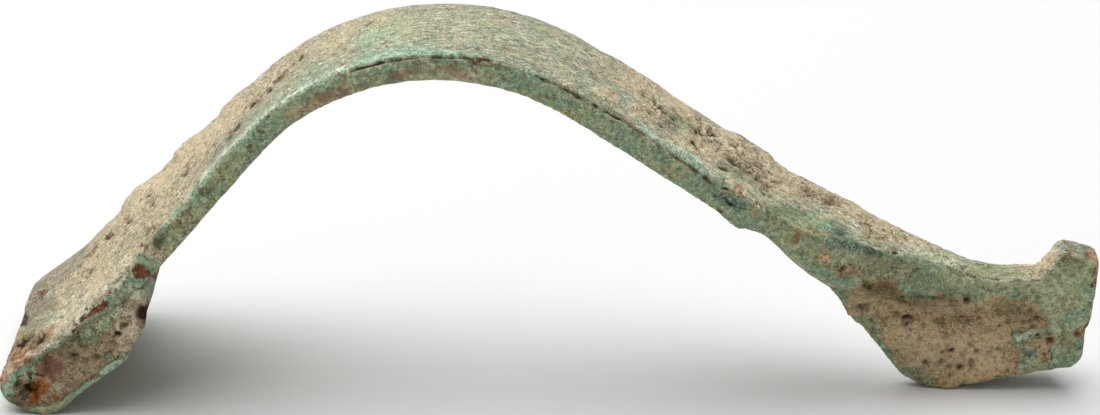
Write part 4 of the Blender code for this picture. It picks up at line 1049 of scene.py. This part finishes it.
# %% [markdown]
# ## Painting the marks
# The same marks are laid on all three pieces, so that a stain runs on from the bronze into the soil beside
# it. A wide mark gets a softer and more ragged edge than a thin one. Dark lines with more than two corners
# break up into crumbs, and wide ones most of all, because a crack is never open all along.

# %% How a mark is painted
# The layer of the darker coat is dirt in some places and painted shade in others, and the darkest layer is
# dirt in pits and cracks and painted shade in shaded places.
LAYERS = (
    "side", "soil", "loam", "lime", "mint", "turquoise", "blue", "moss", "umber", "sheet", "copper",
    "cuprite", "rust", "pale", "dust", "grime", "hollow",
)
ALL_MARKS = (HEAD_MARKS, FOLD_MARKS, LEG_MARKS, CROWN_MARKS, FAR_LEG_MARKS, FOOT_MARKS, CATCH_MARKS)
COVERS_SOIL = ("sheet", "moss", "blue", "bare", "mint", "turquoise", "lime")
SOFTEST = 10
MOST_RAGGED = 7
CRUMBLED_WIDTH = 6
WHOLE_IF_THIN = 0.6
WHOLE_IF_WIDE = 0.15


def edge_of(place, width):
    """How soft and how ragged the edge of a mark is, in pixels."""
    if width:
        return 2.5 + 0.7 * width, 0.6 * width
    thick = thickness(place)
    return min(SOFTEST, thick), min(MOST_RAGGED, 0.3 * thick)


def paint(relief, layer, width, strength, lift, place):
    """Lay one line or patch on a skin."""
    amount = mark(relief, place, width, *edge_of(place, width))
    if layer == "hollow" and len(place) > 4 and width:
        whole = WHOLE_IF_WIDE if width > CRUMBLED_WIDTH else WHOLE_IF_THIN
        amount *= whole + (1 - whole) * relief.crumbs
    relief.height += lift * amount
    if layer in COVERS_SOIL:
        relief.clear("soil", strength * amount)
        relief.clear("loam", strength * amount)
    if layer in LAYERS:
        relief.add(layer, strength * amount)


def paint_marks(relief):
    """Lay every mark on a skin."""
    for marks in ALL_MARKS:
        for layer, width, strength, lift, *places in marks.values():
            for place in places:
                paint(relief, layer, width, strength, lift, place)


print("marks:", sum(len(marks) for marks in ALL_MARKS))

# %% [markdown]
# ## Sandy soil over the head
# The sandy soil on the head and the leg has no outline. It thins out along the bow, and sooner on the near
# half. It goes on before the marks, so that some of them can take it away again.

# %% Lay the soil and paint all marks
soil = Relief(fill)
rust = Relief(axis)
metal.add("side", ramp(abs(metal.outward), 0.75, 0.4))
for relief in (metal, soil, rust):
    for layer in LAYERS:
        relief.add(layer, np.zeros(len(relief.places)))

SOIL_FADES_OUT = (27.0, 15.0)
FACING_OUT = (0.45, 0.75)
TOP_DEPTH = (0.6, 0.3)
NEAR_TO_FAR = (-3.5, 2.5)
top_face = ramp(metal.outward, *FACING_OUT) * ramp(metal.depth, *TOP_DEPTH)
fade_out = ramp(metal.along, *SOIL_FADES_OUT)
broken = cloud(metal.places, 1.6, 3, 4)
far_half = ramp(metal.side, *NEAR_TO_FAR)
metal.add("soil", top_face * ramp(fade_out * (0.55 + 0.6 * far_half) + 0.5 * broken, 0.15, 0.5))
for relief in (metal, soil, rust):
    paint_marks(relief)
for relief in (soil, rust):
    relief.add("side", np.ones(len(relief.places)))
print("soil covers", round(100 * float((metal.paint["soil"] > 0.5).mean())), "% of the points of the strip")

# %% [markdown]
# ## Pits
# Sand has fallen out of the soil and left pits of all sizes, and corrosion has eaten small ones into the
# metal. Random points of the skin become pits, most of them tiny. The random numbers have a seed, so the
# pits are the same each time.

# %% Scatter pits
PIT_DARKNESS = 4
FEW_LARGE = 4


def scatter_pits(relief, where, count, small, large, depth, seed):
    """Sink round pits into a skin where the mask is strong, each with a dark bottom. Most are small."""
    chance = np.random.default_rng(seed)
    middle = np.nonzero(where > 0.5)[0]
    tree = KDTree(len(relief.places))
    for index, place in enumerate(relief.places):
        tree.insert(place, index)
    tree.balance()
    sink = np.zeros(len(relief.places), np.float32)
    for index in chance.choice(middle, count):
        radius = small + (large - small) * chance.random() ** FEW_LARGE
        for place, point, distance in tree.find_range(Vector(relief.places[index]), radius):
            sink[point] = max(sink[point], depth * radius * (1 - (distance / radius) ** 2))
    relief.height -= sink
    # The pit bottoms are darkened: dirt and painted shade.
    relief.add("hollow", sink * PIT_DARKNESS)


soil_top = metal.paint["soil"] * metal.seen
metal_top = (1 - metal.paint["soil"]) * metal.seen
loam_top = metal.paint["loam"] * metal.seen
scatter_pits(metal, soil_top, count=1100, small=0.07, large=0.3, depth=0.4, seed=1)
scatter_pits(metal, metal_top, count=500, small=0.07, large=0.22, depth=0.25, seed=2)
scatter_pits(metal, loam_top, count=200, small=0.07, large=0.34, depth=0.6, seed=4)
scatter_pits(soil, soil.seen, count=160, small=0.08, large=0.35, depth=0.5, seed=3)
print("deepest place so far:", metal.height.min().round(2), "mm")

# %% [markdown]
# ## Crust and cracks
# Dried soil is lumpy and cracks as it shrinks, and on the far leg the skin of the metal is torn. Both are
# fields of noise: a lump is where the noise is high, and a crack is where it passes through zero. The noise
# of the cracks is stretched along the bow, so that most of them run that way.

# %% Crust, cracks and the calm edge
def crust(relief, cover, base):
    """The lumpy surface of soil."""
    lumps = cloud(relief.places, 0.9, 4, 3) * 0.6 + cloud(relief.places, 0.3, 5, 2) * 0.4
    sand = cloud(relief.places, 0.13, 12, 1)
    return cover * (base + 0.08 * lumps + 0.05 * sand)


def crack(relief, size, stretch, width, seed):
    """Thin winding cracks, drawn out along the bow, 1 in the middle of each."""
    field = cloud(relief.flow * np.array([stretch, 1.0, 1.0]), size, seed, 2)
    return ramp(abs(field), width, 0.0)


def carve(relief, mask, depth, darkness):
    """Lower a skin by a depth in millimetres where the mask is 1, and darken it."""
    relief.height -= depth * mask
    # The darkening is dirt in the crack and painted shade.
    relief.add("hollow", darkness * mask)


cell = np.clip((metal.along / LINE_STEP).astype(int), 0, len(line))
far_reach = np.zeros(len(line) + 1)
np.maximum.at(far_reach, cell, metal.side)
from_far_edge = far_reach[cell] - metal.side
CALMEST = 0.15
CALM_REACH = (0.3, 1.6)
calm_edge = CALMEST + (1 - CALMEST) * ramp(from_far_edge, *CALM_REACH)
print("points close to the far edge:", int((calm_edge < 0.5).sum()))

# %% Sink the cracks
TORN_PLACES = (
    (654, 104, 688, 124),
    (696, 128, 716, 146),
    (736, 160, 770, 188),
    (804, 190, 836, 208),
)
TORN_FROM = (45, 50)
TORN_TO = (72, 66)
LIGHT_RIDGES_TO = (56, 50)
soil_cracks = crack(metal, size=0.9, stretch=0.4, width=0.05, seed=14) * ramp(metal.wander, 0.0, 0.5)
carve(metal, soil_cracks * metal.paint["soil"], depth=0.08, darkness=0.5)
loam_cracks = crack(metal, size=0.7, stretch=0.5, width=0.06, seed=17) * ramp(metal.wander, -0.1, 0.4)
carve(metal, loam_cracks * metal.paint["loam"], depth=0.06, darkness=0.6)
torn_leg = ramp(metal.along, *TORN_FROM) * ramp(metal.along, *TORN_TO) * top_face * metal.seen
tears = crack(metal, size=0.6, stretch=0.3, width=0.12, seed=16) * ramp(metal.wander, -0.3, 0.3)
carve(metal, tears * torn_leg, depth=0.12, darkness=0.65)
fissures = crack(metal, size=0.4, stretch=0.35, width=0.13, seed=19)
for place in TORN_PLACES:
    torn = mark(metal, place, width=16, soft=10, ragged=4)
    carve(metal, fissures * torn, depth=0.15, darkness=0.85)
ridges = cloud(metal.flow * np.array([0.25, 1.0, 0.5]), 0.36, 8, 3)
# Dust and a painted highlight: the raised ridges of the torn leg are painted lighter.
metal.add("dust", 0.6 * ramp(ridges, 0.1, 0.45) * torn_leg * ramp(metal.along, *LIGHT_RIDGES_TO))
print("deepest crack or pit:", metal.height.min().round(2), "mm")

# %% [markdown]
# ## Relief
# Everything that has a height is added up here: the lumps in the outline, slow waves of corrosion, the crust
# of the soil, and fine ridges along the upper face of the bow, where the hammered metal has corroded along
# its grain. The far edge is kept calm, because there any fine relief would show as a jagged outline. The
# soil in the fold swells out over its edges, and so does the rust of the axis.

# %% Add up the relief and store the paint
BOW_FROM = (26, 34)
BOW_TO = (76, 70)
FACE_DEPTH = (0.8, 0.4)
NEAR_END = (0.4, 0.8)
SLOW_WAVES = 0.05
ROUGH_METAL = 0.035
RIDGE_HEIGHT = 0.06
TORN_RIDGE_HEIGHT = 0.1
CRUST_HEIGHT = 0.04
LOAM_CRUST = 0.7
FILL_SWELL = 0.26
CORNER_SWELL = 0.14
END_SWELL = 0.06
RUST_SCALES = 0.06
RUST_SWELL = 0.1
on_bow = ramp(metal.along, *BOW_FROM) * ramp(metal.along, *BOW_TO) * ramp(metal.depth, *FACE_DEPTH)
covered = np.maximum(metal.paint["soil"], LOAM_CRUST * metal.paint["loam"])
metal.height *= calm_edge
for width, lift, place in LUMP_MARKS.values():
    metal.height += lift * mark(metal, place, width, soft=1.4 * width, ragged=0.0)
metal.height += SLOW_WAVES * cloud(metal.places, 3.0, 1, 2)
metal.height += ROUGH_METAL * cloud(metal.places, 0.7, 2, 3) * calm_edge
metal.height += (RIDGE_HEIGHT + TORN_RIDGE_HEIGHT * torn_leg) * ridges * on_bow * calm_edge
metal.height += crust(metal, covered, CRUST_HEIGHT) * calm_edge
metal.finish()

towards = -soil.normals[:, 1]
near_end = ramp(towards, *NEAR_END)
corner = ramp(towards, 0.05, 0.4) * ramp(towards, 0.95, 0.6)
soil.height += FILL_SWELL + CORNER_SWELL * corner + END_SWELL * near_end + crust(soil, near_end, 0.0)
soil.finish()

axis_end = ramp(-rust.normals[:, 1], *NEAR_END)
rust.height += RUST_SCALES * cloud(rust.places, 0.3, 6, 3) + RUST_SWELL * axis_end
rust.finish()

# %% [markdown]
# ## A way to write finishes
# A finish is a network of nodes. Written as sums and products it reads like a recipe, so a small class
# wraps a socket and turns +, - and * into Math nodes.

# %% Sockets that can be added and multiplied
def tint(red, green, blue):
    """A colour from the numbers that a colour picker shows, 0 to 255."""
    values = []
    for part in (red, green, blue):
        share = part / 255
        values.append(share / 12.92 if share <= 0.04045 else ((share + 0.055) / 1.055) ** 2.4)
    return (*values, 1.0)


class Wire:
    """An output of a node, with the arithmetic that the finishes use."""

    def __init__(self, finish, socket):
        self.finish = finish
        self.socket = socket

    def math(self, operation, first, second):
        return self.finish.node("ShaderNodeMath", {"operation": operation}, {0: first, 1: second})

    def __add__(self, other):
        return self.math("ADD", self, other)

    def __radd__(self, other):
        return self.math("ADD", other, self)

    def __sub__(self, other):
        return self.math("SUBTRACT", self, other)

    def __rsub__(self, other):
        return self.math("SUBTRACT", other, self)

    def __mul__(self, other):
        return self.math("MULTIPLY", self, other)

    def __rmul__(self, other):
        return self.math("MULTIPLY", other, self)


class Finish:
    """A material that is built node by node."""

    SPECULAR = 0.15

    def __init__(self, name):
        self.material = bpy.data.materials.new(name)
        self.material.use_nodes = True
        self.tree = self.material.node_tree
        self.shader = self.tree.nodes["Principled BSDF"]
        self.shader.inputs["Specular IOR Level"].default_value = self.SPECULAR

    def link(self, value, socket):
        if isinstance(value, Wire):
            self.tree.links.new(value.socket, socket)
        else:
            socket.default_value = value

    def node(self, kind, settings, inputs, output=0):
        """A node of this kind: its settings first, then its sockets, and one of its outputs."""
        made = self.tree.nodes.new(kind)
        for name, value in settings.items():
            setattr(made, name, value)
        for name, value in inputs.items():
            self.link(value, made.inputs[name])
        return Wire(self, made.outputs[output])

    def layer(self, name):
        """A layer painted on the points, from 0 to 1."""
        return self.node("ShaderNodeAttribute", {"attribute_name": name}, {}, "Fac")

    def place(self):
        return self.node("ShaderNodeTexCoord", {}, {}, "Object")

    def moved(self, where, shift):
        """The same places shifted, so that another noise doesn't repeat the first."""
        return self.node("ShaderNodeVectorMath", {"operation": "ADD"}, {0: where, 1: (shift, shift, shift)})

    def noise(self, size, where, detail=3.0, rough=0.6):
        """Noise from 0 to 1 with features of this size in metres."""
        settings = {"noise_dimensions": "3D", "normalize": True}
        inputs = {"Vector": where, "Scale": 1 / size, "Detail": detail, "Roughness": rough}
        return self.node("ShaderNodeTexNoise", settings, inputs, "Fac")

    def grains(self, size, where):
        """Grains of sand of this size, each with its own value from 0 to 1."""
        inputs = {"Vector": where, "Scale": 1 / size}
        cell = self.node("ShaderNodeTexVoronoi", {"feature": "F1"}, inputs, "Position")
        return self.node("ShaderNodeTexWhiteNoise", {"noise_dimensions": "3D"}, {"Vector": cell}, "Value")

    def step(self, value, low, high):
        """A smooth step from 0 at low to 1 at high."""
        inputs = {"Value": value, "From Min": low, "From Max": high}
        return self.node("ShaderNodeMapRange", {"interpolation_type": "SMOOTHSTEP"}, inputs)

    def blend(self, share, first, second):
        """The first colour where the share is 0 and the second where it is 1."""
        inputs = {0: share, 6: first, 7: second}
        return self.node("ShaderNodeMix", {"data_type": "RGBA"}, inputs, 2)

    def layered(self, colour, *coats):
        """Coats laid over a colour, each with a share, from 0 to 1, of a tint."""
        for share, numbers in coats:
            colour = self.blend(share, colour, tint(*numbers))
        return colour

    def shaded(self, colour, brightness):
        """A colour made darker or lighter."""
        inputs = {"Vector": colour, "Scale": brightness}
        return self.node("ShaderNodeVectorMath", {"operation": "SCALE"}, inputs)

    def bump(self, height, distance):
        return self.node("ShaderNodeBump", {}, {"Height": height, "Distance": distance})

    def surface(self, **sockets):
        for name, value in sockets.items():
            self.link(value, self.shader.inputs[name.replace("_", " ").title()])
        return self.material


print("grey 128 gives", round(tint(128, 128, 128)[0], 3), "of the light of white")

# %% [markdown]
# ## The corroded skin
# Old bronze is never one green. Under the marks lies a patina of grey-green, olive and blue-green clouds,
# with pale and dark grains no bigger than a tenth of a millimetre. The marks are laid over it from the
# oldest to the youngest: green stains first, soil after them, then the brown and red that lie bare, rust and
# worn pale places, with painted highlights along some rims. A darker coat, dirt in some places and painted
# shade in others, a little dust, and the darkness of pits, cracks and shaded places, partly dirt and partly
# painted shade, come last.

# %% Tones of the stains
STAINS = {
    "lime": (0.7, (112, 118, 84), (148, 158, 120), (180, 188, 152)),
    "sheet": (0.9, (116, 104, 88), (138, 126, 108), (154, 143, 124)),
    "moss": (0.8, (78, 78, 54), (116, 116, 84), (146, 146, 110)),
    "blue": (0.8, (54, 68, 58), (88, 110, 96), (120, 140, 122)),
    "turquoise": (0.8, (62, 92, 72), (100, 136, 108), (146, 180, 150)),
    "mint": (0.85, (96, 122, 98), (128, 158, 134), (166, 194, 168)),
}
LAID_BARE = {
    "umber": (0.8, (74, 60, 42), (112, 94, 68), (146, 128, 98)),
    "copper": (0.85, (96, 62, 44), (158, 114, 88), (186, 146, 118)),
    "cuprite": (0.95, (70, 40, 28), (110, 62, 42), (140, 88, 62)),
}
LATEST = {
    "rust": (0.95, (64, 36, 16), (132, 74, 28), (160, 98, 42)),
    "pale": (0.78, (138, 136, 112), (184, 191, 168), (222, 224, 208)),
}
# Dirt and painted shade: the darker coat that is multiplied into the colour where that layer is painted.
GRIME_AND_SHADE_FILM = (0.5, 0.55, 0.49)
DUST = tint(222, 202, 168)
# Dirt and painted shade: the dark brown laid in pits, cracks and shaded places.
PIT_DIRT_AND_SHADE = tint(46, 34, 22)
print("tones:", ", ".join([*STAINS, *LAID_BARE, *LATEST]))


# %% One recipe for bronze, soil and rust
def weathered(name, ground):
    """The whole recipe, over a ground that is patina, dirt or iron."""
    finish = Finish(name)
    step = finish.step
    place = finish.place()
    coarse = finish.noise(2.0 * MM, place, 3)
    middle = finish.noise(0.7 * MM, place, 4)
    small = finish.noise(0.28 * MM, place, 3)
    fine = finish.noise(0.1 * MM, place, 2, 0.7)
    grains = finish.grains(0.075 * MM, place)
    wander = (small - 0.5) * 1.6 + (fine - 0.5) * 1.2
    shade = 0.5 + fine * 0.7 + small * 0.3

    def laid(base, layer, colour, cover=1.0, sign=1):
        """Lay a colour where a layer is painted, breaking up at its edges."""
        reach = finish.layer(layer) + wander * (0.75 * sign)
        return finish.blend(step(reach, 0.22, 0.68) * cover, base, colour)

    def grainy(dark, plain, light):
        """A tone that breaks into dark and light grains."""
        return finish.layered(
            tint(*light),
            (step(middle, 0.4, 0.6), plain),
            (step(small, 0.52, 0.36) * 0.8, dark),
            (step(fine, 0.55, 0.7) * 0.6, light),
        )

    def stained(base, stains, sign=1):
        """Lay each stain of a table: its cover, and its dark, plain and light tones."""
        for layer, (cover, dark, plain, light) in stains.items():
            base = laid(base, layer, grainy(dark, plain, light), cover, sign)
        return base

    speckle = 0.65 - finish.layer("side") * 0.2
    colour = finish.layered(
        stained(ground(finish, place, coarse, middle, small), STAINS),
        (step(grains, 0.82, 0.96) * speckle, (208, 204, 178)),
        (step(grains, 0.22, 0.06) * speckle, (78, 74, 52)),
    )
    sand = finish.layered(
        grainy((118, 100, 74), (164, 150, 121), (190, 178, 150)),
        (step(coarse, 0.5, 0.66) * 0.5, (184, 164, 132)),
        (step(coarse, 0.46, 0.34) * 0.5, (150, 148, 124)),
        (step(grains, 0.86, 0.98) * 0.8, (224, 216, 194)),
        (step(grains, 0.12, 0.04) * 0.8, (92, 78, 56)),
    )
    loam = finish.layered(
        tint(158, 132, 97),
        (step(coarse, 0.38, 0.6), (190, 165, 128)),
        (step(middle, 0.48, 0.34) * 0.6, (120, 99, 68)),
        (step(small, 0.48, 0.34) * 0.5, (94, 75, 50)),
        (step(fine, 0.54, 0.7) * 0.5, (186, 164, 126)),
        (step(grains, 0.84, 0.96) * 0.8, (206, 190, 156)),
        (step(grains, 0.1, 0.03) * 0.7, (92, 72, 48)),
    )
    colour = laid(laid(colour, "soil", sand), "loam", loam)
    colour = stained(stained(colour, LAID_BARE, -1), LATEST)
    # Dirt in some places and painted shade in others: the colour is multiplied by a darker coat.
    grime_and_shade_film = finish.node("ShaderNodeVectorMath", {"operation": "MULTIPLY"}, {0: colour, 1: GRIME_AND_SHADE_FILM})
    colour = finish.blend(finish.layer("grime") * (0.7 + middle * 0.6), colour, grime_and_shade_film)
    colour = finish.blend(finish.layer("dust") * (0.2 + small * 0.8), colour, DUST)
    # Dirt and painted shade: pits, cracks and shaded places blend towards a dark brown.
    depth = finish.layer("hollow") + wander * 0.5
    colour = finish.blend(step(depth, 0.2, 0.9), finish.shaded(colour, shade), PIT_DIRT_AND_SHADE)
    normal = finish.bump(small * 0.7 + fine * 0.3 + grains * 0.12, 0.06 * MM)
    return finish.surface(base_color=colour, roughness=0.85, normal=normal)


print("stains in the recipe:", len(STAINS) + len(LAID_BARE) + len(LATEST))

# %% [markdown]
# ## The grounds
# The recipe goes over three grounds. On the bronze the upper face and the side are coloured apart: the
# upper face has bands and flakes drawn out along the bow, and the side has rounder clouds. The soil and the
# iron need little more than a dark and a light tone.

# %% Patina, dirt and iron
def patina(finish, place, coarse, middle, small):
    """Grey-green, olive and blue-green clouds, drawn out along the bow on its upper face."""
    step = finish.step
    other = finish.noise(1.1 * MM, finish.moved(place, 31 * MM), 3)
    flow = finish.node("ShaderNodeAttribute", {"attribute_name": "flow"}, {}, "Vector")
    drawn_out = {"operation": "MULTIPLY"}
    along = finish.node("ShaderNodeVectorMath", drawn_out, {0: flow, 1: (0.24, 1.0, 0.6)})
    bands = finish.noise(0.55 * MM, along, 3)
    streaks = finish.noise(0.17 * MM, along, 3, 0.7)
    flat = finish.node("ShaderNodeVectorMath", drawn_out, {0: flow, 1: (0.4, 1.0, 1.0)})
    flakes = finish.grains(0.13 * MM, flat)
    upper = finish.layered(
        tint(134, 144, 124),
        (step(coarse, 0.4, 0.6), (154, 154, 131)),
        (step(bands, 0.52, 0.64) * 0.7, (156, 160, 116)),
        (step(bands, 0.47, 0.36) * 0.6, (124, 142, 120)),
        (step(other, 0.54, 0.66) * 0.5, (172, 152, 128)),
        (step(streaks, 0.53, 0.66) * 0.6, (186, 186, 158)),
        (step(streaks, 0.46, 0.34) * 0.7, (92, 88, 66)),
        (step(flakes, 0.84, 0.96) * 0.75, (210, 200, 174)),
        (step(flakes, 0.16, 0.04) * 0.6, (96, 92, 70)),
    )
    near = finish.layered(
        tint(122, 150, 121),
        (step(coarse, 0.42, 0.58), (152, 157, 118)),
        (step(other, 0.52, 0.64) * 0.7, (142, 134, 98)),
        (step(other, 0.44, 0.34) * 0.6, (124, 152, 124)),
        (step(middle, 0.46, 0.34) * 0.5, (112, 132, 104)),
        (step(small, 0.53, 0.62) * 0.7, (176, 188, 152)),
        (step(small, 0.46, 0.34) * 0.6, (92, 98, 74)),
    )
    return finish.blend(finish.layer("side"), upper, near)


def dirt_ground(finish, place, coarse, middle, small):
    """Brown packed soil, darker than the soil that has weathered in the open."""
    return finish.layered(
        tint(166, 150, 120),
        (finish.step(middle, 0.36, 0.62), (138, 120, 92)),
        (finish.step(coarse, 0.5, 0.64) * 0.5, (124, 106, 78)),
        (finish.step(small, 0.48, 0.34) * 0.7, (92, 76, 54)),
    )


def iron_ground(finish, place, coarse, middle, small):
    """Iron that has turned to rust."""
    return finish.layered(tint(80, 44, 20), (finish.step(small, 0.36, 0.64), (150, 84, 34)))


PAPER_GREY = (0.68, 0.68, 0.68, 1.0)


def paper_finish():
    """Plain matt paper for the floor."""
    return Finish("studio_paper").surface(base_color=PAPER_GREY, roughness=0.9)


strip.data.materials.append(weathered("bronze_patina", patina))
fill.data.materials.append(weathered("packed_dirt", dirt_ground))
axis.data.materials.append(weathered("iron_rust", iron_ground))
floor_mesh.materials.append(paper_finish())
print("finishes:", ", ".join(piece.data.materials[0].name for piece in (strip, fill, axis, floor)))
